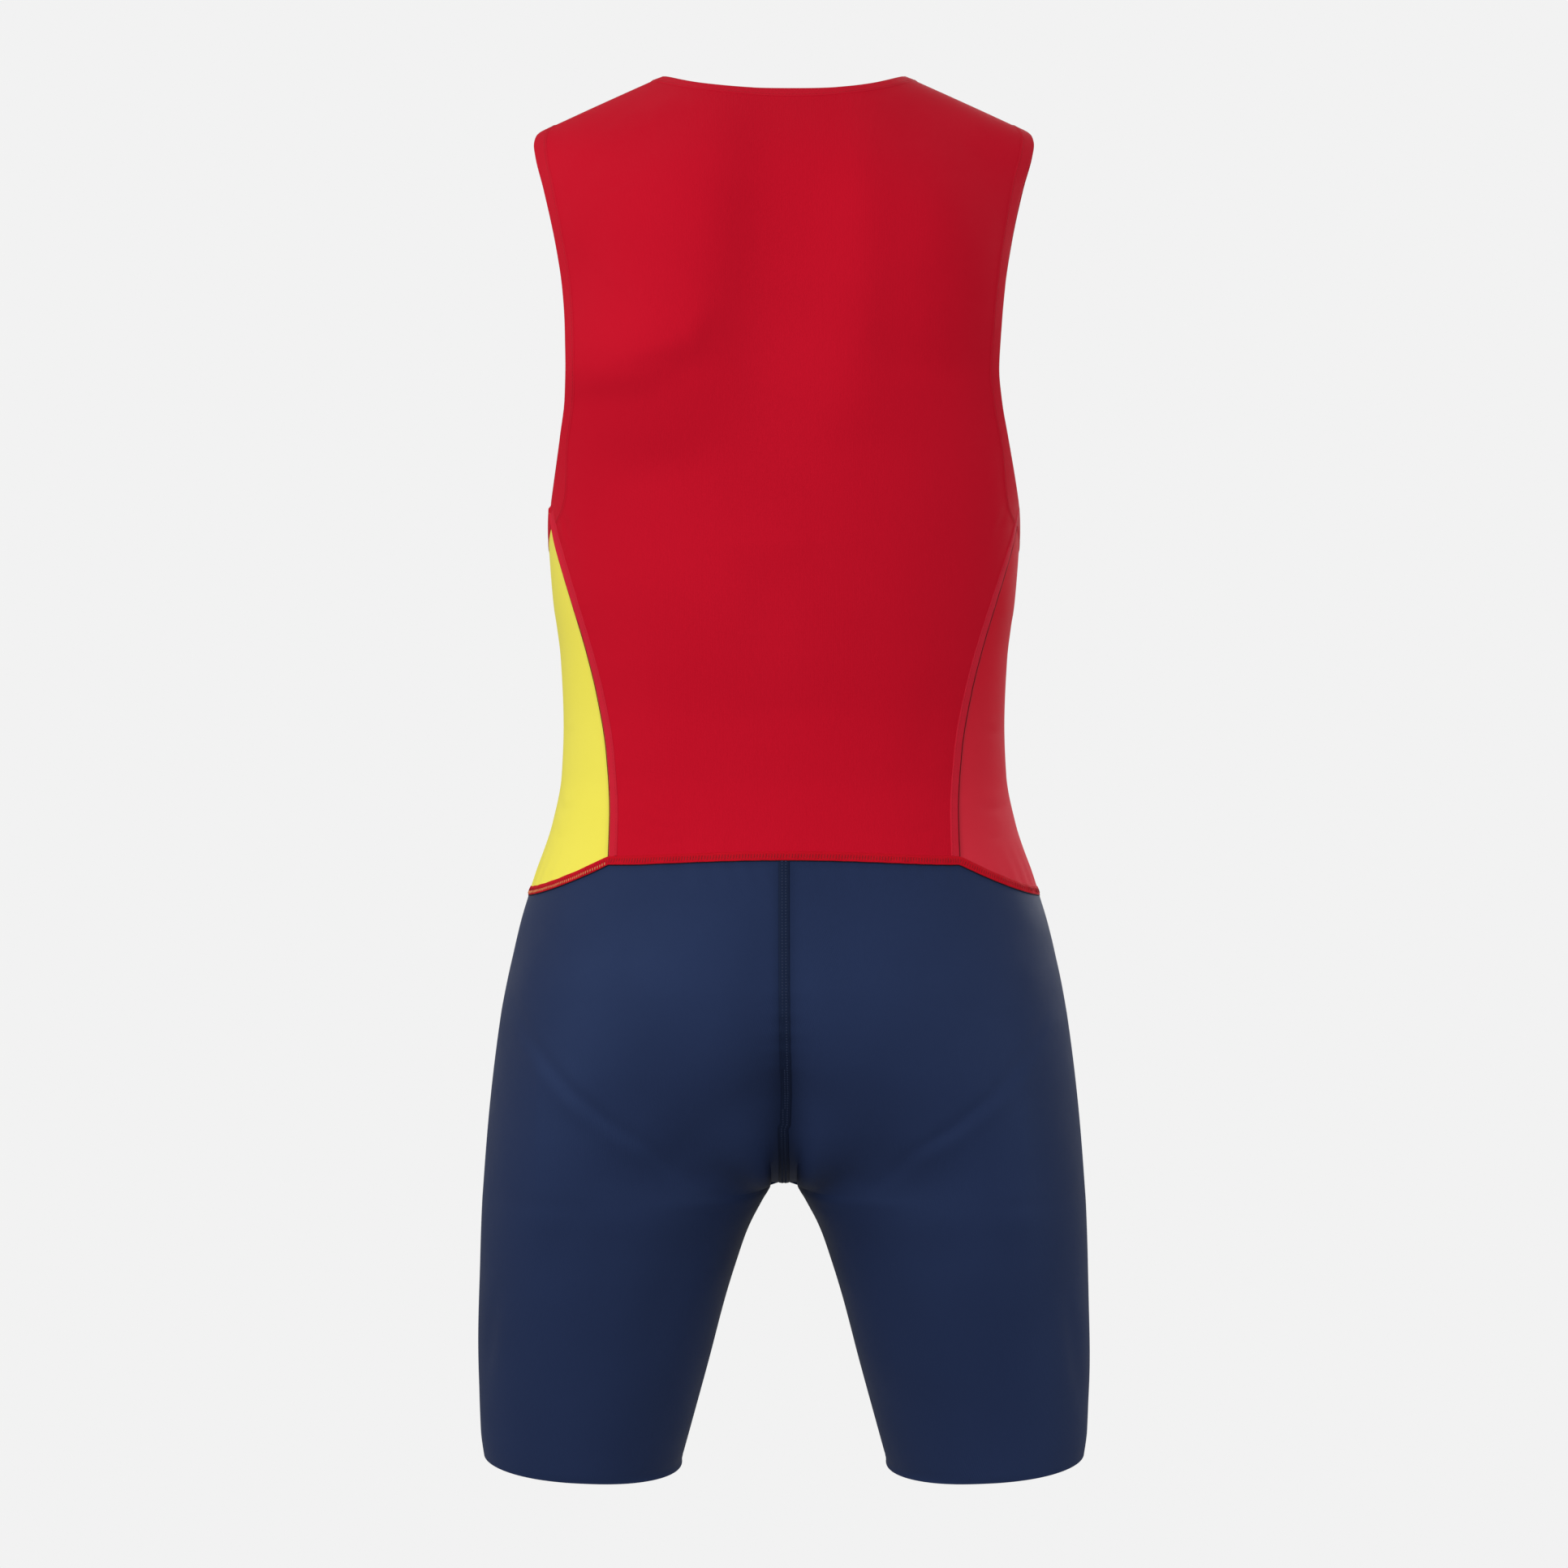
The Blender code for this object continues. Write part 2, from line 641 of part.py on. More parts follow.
def shorts_height(share: float, row: int) -> float:
    """Height of a row of the shorts at a share of the way round. The hem hangs lower on the inside."""
    if row <= LEG_ROWS:
        hem = HEM_HEIGHT - HEM_TILT * math.cos(2.0 * math.pi * share)
        return hem + (CROTCH_HEIGHT - hem) * row / LEG_ROWS
    level = row - LEG_ROWS
    near_seam = math.cos(math.pi * share) ** 2
    even = level / (SEAT_ROWS + HIP_ROWS)
    climb = even + (rise_climb(level) - even) * near_seam
    start = turn_at(CROTCH_FLAT_HALF, WAIST_CENTRE_HEIGHT)
    top = waist_seam(abs(2.0 * share - 1.0) * start) - SEAM_GAP / 2.0
    return CROTCH_HEIGHT + (top - CROTCH_HEIGHT) * climb


def make_shorts(name: str, side: int) -> None:
    """Build one half of the shorts: half of the hips with its centre seam, and one leg."""
    columns = LEG_COLUMNS + 2
    rows = LEG_ROWS + SEAT_ROWS + HIP_ROWS

    def place(column: int, row: int) -> Vector:
        step = min(LEG_COLUMNS, max(0, column - 1)) / LEG_COLUMNS
        share = step if side > 0 else 1.0 - step
        point = shorts_point(share, shorts_height(share, row))
        if column in (0, columns):
            point.x = SEAM_GAP / 2.0
        return Vector((side * point.x, point.y, point.z))

    def below_crotch(column: int, row: int) -> bool:
        return column in (0, columns - 1) and row < LEG_ROWS

    cloth(name, columns, rows, place, NAVY, outward=False, left_out=below_crotch)


# Tapes and bindings


def lifted_strip(name: str, low: list[Vector], high: list[Vector], finish: Finish, closed: bool) -> None:
    """Build a narrow strip between two lines of points that already stand clear of the cloth."""
    steps = len(low) if closed else len(low) - 1

    def place(column: int, row: int) -> Vector:
        line = low if row == 0 else high
        return line[column % len(line)].copy()

    cloth(name, steps, 1, place, finish, wall=TRIM_WALL)


def make_waist_tape() -> None:
    """Build the tape round the waist, over the seam between the top and the shorts."""
    low, high = [], []
    for i in range(WAIST_TAPE_STEPS):
        turn = 2.0 * math.pi * i / WAIST_TAPE_STEPS
        from_side = math.asin(min(1.0, abs(math.sin(turn))))
        seam = waist_seam(from_side)
        for line, z in ((low, seam - WAIST_TAPE_BELOW), (high, seam + WAIST_TAPE_ABOVE)):
            here = trunk_point(turn, z)
            along = trunk_point(turn + NORMAL_STEP, z) - here
            up = trunk_point(turn, z + NORMAL_STEP) - here
            line.append(here + along.cross(up).normalized() * TRIM_LIFT)
    lifted_strip("waist_seam_tape", low, high, RED_TAPE, closed=True)


def make_rise_tape() -> None:
    """Build the tape over the centre seam of the shorts, from the front waist under to the back waist."""
    levels = SEAT_ROWS + HIP_ROWS
    top = WAIST_CENTRE_HEIGHT - WAIST_TAPE_BELOW - RISE_TAPE_START
    path = []
    for share, order in ((0.0, range(levels, 0, -1)), (1.0, range(0, levels + 1))):
        for level in order:
            z = min(top, CROTCH_HEIGHT + (WAIST_CENTRE_HEIGHT - CROTCH_HEIGHT) * rise_climb(level))
            path.append(shorts_point(share, z))
    right, left = [], []
    for i, point in enumerate(path):
        along = path[min(i + 1, len(path) - 1)] - path[max(i - 1, 0)]
        out = Vector((-1.0, 0.0, 0.0)).cross(along).normalized()
        lifted = point + out * TRIM_LIFT
        left.append(Vector((RISE_TAPE_HALF, lifted.y, lifted.z)))
        right.append(Vector((-RISE_TAPE_HALF, lifted.y, lifted.z)))
    steps = len(path) - 1

    def place(column: int, row: int) -> Vector:
        return (left if column == 0 else right)[row].copy()

    cloth("rise_seam_tape", 1, steps, place, NAVY_TAPE, wall=TRIM_WALL)


def make_neck_binding() -> None:
    """Build the band round the neck edge."""
    edge = []
    for back in (True, False):
        for i in range(NECK_BAND_STEPS):
            x = NECK_HALF * math.cos(math.pi * i / NECK_BAND_STEPS) * (1.0 if back else -1.0)
            z = neck_edge(x, back) - WALL
            depth = trunk_depth(x, z, back, WALL)
            edge.append(Vector((x, depth if back else -depth, z)))
    outer, inner = [], []
    for i, point in enumerate(edge):
        normal = normal_on_trunk(point, WALL)
        along = edge[(i + 1) % len(edge)] - edge[i - 1]
        moved = point + along.cross(normal).normalized() * NECK_BAND_WIDTH
        seated = settle(moved, normal, WALL)
        outer.append(point + normal * (WALL + TRIM_LIFT))
        inner.append(seated + normal_on_trunk(seated, WALL) * (WALL + TRIM_LIFT))
    lifted_strip("neck_binding", inner, outer, RED_BINDING, closed=True)


def raised(place: Callable[[float, float], Vector], share: float, height: float) -> Vector:
    """Point of a panel moved out past its wall, along the panel's own outward direction."""
    here = place(share, height)
    across = place(share + NORMAL_STEP, height) - place(share - NORMAL_STEP, height)
    up = here - place(share, height - NORMAL_STEP)
    normal = across.cross(up).normalized()
    if normal.dot(here - Vector((0.0, 0.0, here.z))) < 0.0:
        normal = -normal
    return here + normal * (WALL + TRIM_LIFT)


def armhole_lines() -> tuple[list[Vector], list[Vector]]:
    """Outer and inner line of the left armhole's band: up the back, down the front and under the arm."""

    def on_back(share: float, height: float) -> Vector:
        return panel_point(share, height, True, WALL)

    def on_front(share: float, height: float) -> Vector:
        return panel_point(share, height, False, WALL)

    def on_side(share: float, height: float) -> Vector:
        return side_panel_point(share, height, WALL)

    heights = [ARMHOLE_CORNER_HEIGHT] + ARMHOLE_HEIGHTS
    lines = []
    for outermost in (True, False):
        up_back = [raised(on_back, 1.0 if outermost else 1.0 - band_share(z, True), z) for z in heights]
        up_front = [raised(on_front, 1.0 if outermost else 1.0 - band_share(z, False), z) for z in heights]
        under = []
        for i in range(SIDE_COLUMNS + 1):
            share = 2.0 * i / SIDE_COLUMNS - 1.0
            height = ARMHOLE_CORNER_HEIGHT if outermost else band_low_height(share)
            under.append(raised(on_side, share, height))
        if outermost:
            under[0] = up_front[0] = (under[0] + up_front[0]) / 2.0
            under[-1] = up_back[0] = (under[-1] + up_back[0]) / 2.0
        tip = (up_back[-1] + up_front[-1]) / 2.0
        lines.append(up_back[:-1] + [tip] + up_front[-2::-1] + under)
    return lines[0], lines[1]


def make_armhole_binding(name: str, side: int) -> None:
    """Build the band round one armhole."""
    outer, inner = armhole_lines()
    if side < 0:
        outer = [Vector((-point.x, point.y, point.z)) for point in outer]
        inner = [Vector((-point.x, point.y, point.z)) for point in inner]
    low, high = (inner, outer) if side > 0 else (outer, inner)
    lifted_strip(name, low, high, RED_BINDING, closed=True)


def main() -> None:
    """Clear the scene and build the suit."""
    for item in list(bpy.data.objects):
        bpy.data.objects.remove(item, do_unlink=True)
    collection = bpy.data.collections.new(COLLECTION)
    bpy.context.scene.collection.children.link(collection)
    make_panel("back_panel", back=True)
    make_panel("front_panel", back=False)
    make_side_panel("side_panel_left", 1, YELLOW)
    make_side_panel("side_panel_right", -1, PALE_RED)
    make_shorts("shorts_left", 1)
    make_shorts("shorts_right", -1)
    make_neck_binding()
    make_armhole_binding("armhole_binding_left", 1)
    make_armhole_binding("armhole_binding_right", -1)
    make_waist_tape()
    make_rise_tape()


main()
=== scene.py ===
"""Sports jumpsuit: the cloth, seams, stitches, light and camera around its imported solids.

Metres, +Z up. The front faces -Y and the wearer's left side is +X. The photograph is taken from behind.
"""

import logging
import math
from dataclasses import dataclass, field
from enum import Enum
from typing import Callable

import bpy
import numpy as np
from mathutils.bvhtree import BVHTree
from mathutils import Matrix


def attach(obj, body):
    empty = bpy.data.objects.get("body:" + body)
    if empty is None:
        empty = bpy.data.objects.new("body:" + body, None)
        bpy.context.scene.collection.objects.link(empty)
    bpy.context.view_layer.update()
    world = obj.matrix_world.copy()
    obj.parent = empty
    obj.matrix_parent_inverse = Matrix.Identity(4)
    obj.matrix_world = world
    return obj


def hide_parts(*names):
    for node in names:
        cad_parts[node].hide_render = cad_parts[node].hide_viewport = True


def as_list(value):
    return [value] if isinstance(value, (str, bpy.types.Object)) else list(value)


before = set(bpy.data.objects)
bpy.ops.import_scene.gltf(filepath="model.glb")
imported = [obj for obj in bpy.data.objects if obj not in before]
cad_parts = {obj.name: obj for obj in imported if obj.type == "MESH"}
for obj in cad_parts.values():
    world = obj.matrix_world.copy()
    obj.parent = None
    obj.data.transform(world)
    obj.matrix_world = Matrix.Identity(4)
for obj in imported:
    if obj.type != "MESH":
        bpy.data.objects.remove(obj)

Array = np.ndarray
Colour = tuple[float, float, float]
Piece = bpy.types.Object
BODY = "root"
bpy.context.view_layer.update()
CLOTH_MAP = "cloth"
# Point attribute that masks the painted shade beside seams: how near each point is to a sewn edge, 0 to 1.
SEAM_SHADE_MASK = "painted_seam_shade"
PATH_STEP = 0.0025
MERGE_DISTANCE = 0.00001
SHEET_SMOOTH_ANGLE = math.radians(50.0)
BAND_SMOOTH_ANGLE = math.radians(60.0)
SHORTEST_VECTOR = 1e-12
SHORTEST_GAP = 1e-6
LEVEL_SLACK = 1e-9
UP = np.array([0.0, 0.0, 1.0])
LEFTWARD = np.array([1.0, 0.0, 0.0])
BACKWARD = np.array([0.0, 1.0, 0.0])
LOG = logging.getLogger("sports_jumpsuit")


# The form of the suit


@dataclass(frozen=True)
class Section:
    """One level of the trunk: half its width, and its depth behind and before the middle plane."""

    height: float
    half_width: float
    back: float
    front: float


@dataclass(frozen=True)
class LegRing:
    """One level of the left leg: outer and inner edges from the middle, and depths behind and before."""

    height: float
    outer: float
    inner: float
    back: float
    front: float


@dataclass(frozen=True)
class Edge:
    """A point of a cut edge or a seam: its height, and how far out from the middle it lies."""

    height: float
    out: float


class Side(Enum):
    """The wearer's left or right, as the sign of X."""

    LEFT = 1
    RIGHT = -1

    @property
    def label(self) -> str:
        """The side's word in the names of pieces."""
        return self.name.lower()

    @property
    def mirror(self) -> Array:
        """Factors that bring points of the left side to this side."""
        return np.array([self.value, 1.0, 1.0])


class Profile:
    """A smooth curve through one column of a table of levels, with no overshoot between its rows."""

    def __init__(self, rows: tuple, column: str) -> None:
        """Read one column of the table.

        Args:
            rows: The table's rows, in any order.
            column: The name of the column to follow.
        """
        ordered = sorted(rows, key=lambda row: row.height)
        self.heights = np.array([row.height for row in ordered])
        self.values = np.array([getattr(row, column) for row in ordered])
        runs = np.diff(self.heights)
        rises = np.diff(self.values) / runs
        below, above = rises[:-1], rises[1:]
        weight_below = runs[:-1] + 2.0 * runs[1:]
        weight_above = 2.0 * runs[:-1] + runs[1:]
        turning = below * above <= 0.0
        safe_below = np.where(turning, 1.0, below)
        safe_above = np.where(turning, 1.0, above)
        middle = (weight_below + weight_above) / (weight_below / safe_below + weight_above / safe_above)
        self.slopes = np.concatenate([rises[:1], np.where(turning, 0.0, middle), rises[-1:]])

    def __call__(self, height: Array | float) -> Array:
        """Value at each height, held level past the ends of the table.

        Args:
            height: One height, or an array of them.

        Returns:
            The column's value at each height.
        """
        h = np.clip(height, self.heights[0], self.heights[-1])
        low = np.clip(np.searchsorted(self.heights, h, side="right") - 1, 0, len(self.heights) - 2)
        run = self.heights[low + 1] - self.heights[low]
        t = (h - self.heights[low]) / run
        s = 1.0 - t
        start = (1.0 + 2.0 * t) * s * s * self.values[low] + t * s * s * run * self.slopes[low]
        end = (1.0 + 2.0 * s) * t * t * self.values[low + 1] - s * t * t * run * self.slopes[low + 1]
        return start + end


def bell(distance: Array, reach: float | Array) -> Array:
    """A smooth bump: 1 at its middle, and fading over its reach."""
    return np.exp(-((distance / reach) ** 2))


def smooth(share: Array | float) -> Array:
    """Ease from 0 to 1, level at both ends."""
    t = np.clip(share, 0.0, 1.0)
    return t * t * (3.0 - 2.0 * t)


def power(value: Array, exponent: float) -> Array:
    """A power that keeps the sign of its base."""
    return np.copysign(np.abs(value) ** exponent, value)


def unit(vectors: Array) -> Array:
    """Each vector at a length of 1."""
    return vectors / np.maximum(np.linalg.norm(vectors, axis=-1, keepdims=True), SHORTEST_VECTOR)


def stack(x: Array, y: Array, z: Array) -> Array:
    """Points from their three coordinates."""
    return np.stack(np.broadcast_arrays(x, y, z), axis=-1)


@dataclass
class TrunkForm:
    """The form of the top and the hips: level sections under rounded shoulders."""

    squareness: float = 2.3
    neck_half: float = 0.0790
    neck_point: float = 0.0153
    shoulder_slope: float = 0.4446
    shoulder_round: float = 0.1100
    blade_swell: float = 0.0045
    blade_out: float = 0.0860
    blade_height: float = -0.1180
    blade_reach_out: float = 0.0380
    blade_reach_up: float = 0.0550
    blade_reach_down: float = 0.0420
    spine_hollow: float = 0.0050
    spine_reach_out: float = 0.0300
    spine_height: float = -0.2300
    spine_reach_up: float = 0.1100
    sections: tuple[Section, ...] = (
        Section(0.040, 0.1850, 0.066, 0.050),
        Section(-0.020, 0.1760, 0.086, 0.066),
        Section(-0.060, 0.1640, 0.100, 0.082),
        Section(-0.100, 0.1565, 0.110, 0.096),
        Section(-0.140, 0.1535, 0.114, 0.104),
        Section(-0.190, 0.1528, 0.114, 0.108),
        Section(-0.240, 0.1520, 0.110, 0.108),
        Section(-0.282, 0.1502, 0.105, 0.105),
        Section(-0.316, 0.1477, 0.100, 0.102),
        Section(-0.357, 0.1425, 0.094, 0.099),
        Section(-0.399, 0.1408, 0.090, 0.097),
        Section(-0.430, 0.1420, 0.091, 0.097),
        Section(-0.461, 0.1479, 0.097, 0.098),
        Section(-0.492, 0.1583, 0.107, 0.100),
        Section(-0.524, 0.1680, 0.117, 0.102),
        Section(-0.565, 0.1776, 0.125, 0.103),
        Section(-0.607, 0.1838, 0.127, 0.103),
        Section(-0.650, 0.1885, 0.122, 0.101),
        Section(-0.690, 0.1917, 0.112, 0.098),
    )
    half_width: Profile = field(init=False)
    back_depth: Profile = field(init=False)
    front_depth: Profile = field(init=False)

    def __post_init__(self) -> None:
        """Make the curves through the table of sections."""
        self.half_width = Profile(self.sections, "half_width")
        self.back_depth = Profile(self.sections, "back")
        self.front_depth = Profile(self.sections, "front")

    def shoulder_line(self, x: Array) -> Array:
        """Height of the top of the form: straight along each shoulder, and a low crown over the neck.

        Args:
            x: Distance from the middle plane.

        Returns:
            The height at each distance.
        """
        over = np.abs(x) - self.neck_half
        crown = self.shoulder_slope * self.neck_half / 2.0
        low = self.neck_point + crown * (1.0 - (x / self.neck_half) ** 2)
        return np.where(over >= 0.0, self.neck_point - self.shoulder_slope * over, low)

    def fullness(self, x: Array, z: Array) -> Array:
        """Share of the full depth that is left at a distance from the middle."""
        across = np.minimum(1.0, np.abs(x) / self.half_width(z))
        return (1.0 - across**self.squareness) ** (1.0 / self.squareness)

    def back_relief(self, x: Array, z: Array) -> Array:
        """Low swell over each shoulder blade, and a shallow hollow down the middle of the back.

        Args:
            x: Distance from the middle plane.
            z: Height.

        Returns:
            The lift in metres, less than 0 in the hollow.
        """
        reach_up = np.where(z > self.blade_height, self.blade_reach_up, self.blade_reach_down)
        blade = bell(np.abs(x) - self.blade_out, self.blade_reach_out) * bell(z - self.blade_height, reach_up)
        spine = bell(x, self.spine_reach_out) * bell(z - self.spine_height, self.spine_reach_up)
        return self.blade_swell * blade - self.spine_hollow * spine

    def depth(self, x: Array, z: Array, back: Array | bool) -> Array:
        """Distance of the cloth from the middle plane, behind it or before it.

        Args:
            x: Distance from the middle plane.
            z: Height.
            back: Whether the cloth is behind the middle plane.

        Returns:
            The distance, 0 or more.
        """
        below_top = np.clip((self.shoulder_line(x) - z) / self.shoulder_round, 0.0, 1.0)
        rounding = np.sqrt(1.0 - (1.0 - below_top) ** 2)
        full = np.where(back, self.back_depth(z) + self.back_relief(x, z), self.front_depth(z))
        return full * self.fullness(x, z) * rounding

    def point(self, turn: Array, z: Array) -> Array:
        """Points at a turn from the left side, which is 0, to the middle of the back at a quarter.

        Args:
            turn: Turn in radians.
            z: Height.

        Returns:
            The points on the form.
        """
        x = self.half_width(z) * power(np.cos(turn), 2.0 / self.squareness)
        back = np.sin(turn) >= 0.0
        depth = self.depth(x, z, back)
        return stack(x, np.where(back, depth, -depth), z)

    def turn_at(self, x: Array, z: Array) -> Array:
        """Turn from the side of the trunk to a distance from its middle, 0 to a quarter."""
        return np.arccos(np.minimum(1.0, np.abs(x) / self.half_width(z)) ** (self.squareness / 2.0))


@dataclass
class Cut:
    """The lines that the top is cut and sewn on, and the points of its panels on the form."""

    trunk: TrunkForm
    back_neck_drop: float = 0.0202
    back_neck_power: float = 3.3
    front_neck_drop: float = 0.0800
    front_neck_power: float = 2.4
    armhole_corner: float = -0.2620
    armhole_floor: float = -0.2825
    armhole_floor_power: float = 1.6
    front_cut: float = 0.0060
    front_cut_height: float = -0.1650
    front_cut_reach: float = 0.0900
    waist_centre: float = -0.4812
    waist_corner: float = -0.4845
    waist_side: float = -0.5055
    waist_side_power: float = 2.5
    row_share_below: float = 0.48
    side_seam: tuple[Edge, ...] = (
        Edge(-0.2620, 0.1486),
        Edge(-0.2820, 0.1445),
        Edge(-0.3050, 0.1376),
        Edge(-0.3240, 0.1315),
        Edge(-0.3540, 0.1223),
        Edge(-0.3810, 0.1155),
        Edge(-0.4160, 0.1095),
        Edge(-0.4560, 0.1069),
        Edge(-0.4845, 0.1072),
    )
    armhole: tuple[Edge, ...] = (
        Edge(-0.0180, 0.1539),
        Edge(-0.0236, 0.1577),
        Edge(-0.0300, 0.1586),
        Edge(-0.0393, 0.1571),
        Edge(-0.0633, 0.1506),
        Edge(-0.0972, 0.1425),
        Edge(-0.1290, 0.1367),
        Edge(-0.1600, 0.1335),
        Edge(-0.1800, 0.1325),
        Edge(-0.1996, 0.1347),
        Edge(-0.2187, 0.1388),
        Edge(-0.2378, 0.1431),
        Edge(-0.2620, 0.1486),
    )
    seam_out: Profile = field(init=False)
    armhole_out: Profile = field(init=False)
    waist_turn: float = field(init=False)

    def __post_init__(self) -> None:
        """Make the curves through the tables of edges."""
        self.seam_out = Profile(self.side_seam, "out")
        self.armhole_out = Profile(self.armhole, "out")
        self.waist_turn = float(self.side_turn(self.waist_corner))

    @property
    def tip(self) -> Edge:
        """The end of the shoulder seam."""
        return self.armhole[0]

    def neck_edge(self, x: Array, back: bool) -> Array:
        """Height of the neck edge at a distance from the middle.

        Args:
            x: Distance from the middle plane.
            back: Whether it is the back panel.

        Returns:
            The height at each distance.
        """
        drop = self.back_neck_drop if back else self.front_neck_drop
        exponent = self.back_neck_power if back else self.front_neck_power
        across = np.minimum(1.0, np.abs(x) / self.trunk.neck_half)
        return self.trunk.neck_point - drop * (1.0 - across**exponent)

    def edge_out(self, z: Array, back: bool) -> Array:
        """Distance from the middle to the edge of the back or front panel.

        Args:
            z: Height.
            back: Whether it is the back panel.

        Returns:
            The distance at each height.
        """
        cut = 0.0 if back else self.front_cut * bell(z - self.front_cut_height, self.front_cut_reach)
        fade = smooth((z - self.armhole_corner) / self.front_cut_reach) * smooth(-z / self.front_cut_reach)
        return np.where(z <= self.armhole_corner, self.seam_out(z), self.armhole_out(z) - cut * fade)

    def side_turn(self, z: Array | float) -> Array:
        """Turn from the side to the side seams at a height."""
        return self.trunk.turn_at(self.seam_out(z), z)

    def waist_seam(self, turn: Array) -> Array:
        """Height of the waist seam at a turn from either side, 0 to a quarter.

        Args:
            turn: Turn in radians.

        Returns:
            The height at each turn.
        """
        near = np.clip(turn / self.waist_turn, 0.0, 1.0) ** self.waist_side_power
        at_side = self.waist_side + (self.waist_corner - self.waist_side) * near
        far = smooth((turn - self.waist_turn) / (math.pi / 2.0 - self.waist_turn))
        across = self.waist_corner + (self.waist_centre - self.waist_corner) * far
        return np.where(turn < self.waist_turn, at_side, across)

    def panel_out(self, share: Array, edge_height: Array, back: bool) -> Array:
        """Distance from the middle at a share of the way to the edge of the back or front panel.

        Args:
            share: Part of the way to the edge, -1 to 1.
            edge_height: Height of the row at the edge.
            back: Whether it is the back panel.

        Returns:
            The distance, less than 0 on the wearer's right.
        """
        z = np.asarray(edge_height, dtype=float)
        edge = self.edge_out(z, back)
        to_tip = (self.tip.height - z) / (self.tip.height - self.armhole_corner)
        turn = share * (math.pi / 2.0 - self.trunk.turn_at(edge, z))
        curved = self.trunk.half_width(z) * power(np.sin(turn), 2.0 / self.trunk.squareness)
        return share * edge + (curved - share * edge) * smooth(to_tip)

    def panel_point(self, share: Array, edge_height: Array, back: bool) -> Array:
        """Points of the back or front panel.

        Args:
            share: Part of the way from the middle to the panel's edge, -1 to 1.
            edge_height: Height at which the point's row meets the panel's edge.
            back: Whether it is the back panel.

        Returns:
            The points, on the outside of the form.
        """
        climb = (edge_height - self.waist_corner) / (self.tip.height - self.waist_corner)
        x_low = self.panel_out(share, self.waist_corner, back)
        bottom = self.waist_seam(self.trunk.turn_at(x_low, self.waist_corner))
        x_top = share * self.tip.out
        at_neck = np.abs(x_top) < self.trunk.neck_half
        top = np.where(at_neck, self.neck_edge(x_top, back), self.trunk.shoulder_line(x_top))
        x = self.panel_out(share, edge_height, back)
        z = bottom + (top - bottom) * climb
        depth = self.trunk.depth(x, z, back)
        return stack(x, depth if back else -depth, z)

    def edge_height(self, rise: Array) -> Array:
        """Height of a panel's row at its edge, at a share of the way from the waist to the shoulder seam.

        Args:
            rise: Share of the panel's rows, 0 to 1.

        Returns:
            The height of each row at the edge.
        """
        low = self.waist_corner + (self.armhole_corner - self.waist_corner) * rise / self.row_share_below
        left = np.clip((1.0 - rise) / (1.0 - self.row_share_below), 0.0, 1.0)
        high = self.tip.height + (self.armhole_corner - self.tip.height) * left**2
        return np.where(rise < self.row_share_below, low, high)

    def side_point(self, share: Array, climb: Array) -> Array:
        """Points of the left side panel: share is -1 at the front seam and 1 at the back seam.

        Args:
            share: Part of the way across, -1 to 1.
            climb: Share of the way up, 0 to 1.

        Returns:
            The points on the form.
        """
        seam_height = self.waist_corner + (self.armhole_corner - self.waist_corner) * climb
        floor_rise = (self.armhole_corner - self.armhole_floor) * np.abs(share) ** self.armhole_floor_power
        dip_low = self.waist_seam(np.abs(share) * self.waist_turn) - self.waist_corner
        dip_high = self.armhole_floor + floor_rise - self.armhole_corner
        z = seam_height + dip_low * (1.0 - climb) + dip_high * climb
        return self.trunk.point(share * self.side_turn(seam_height), z)


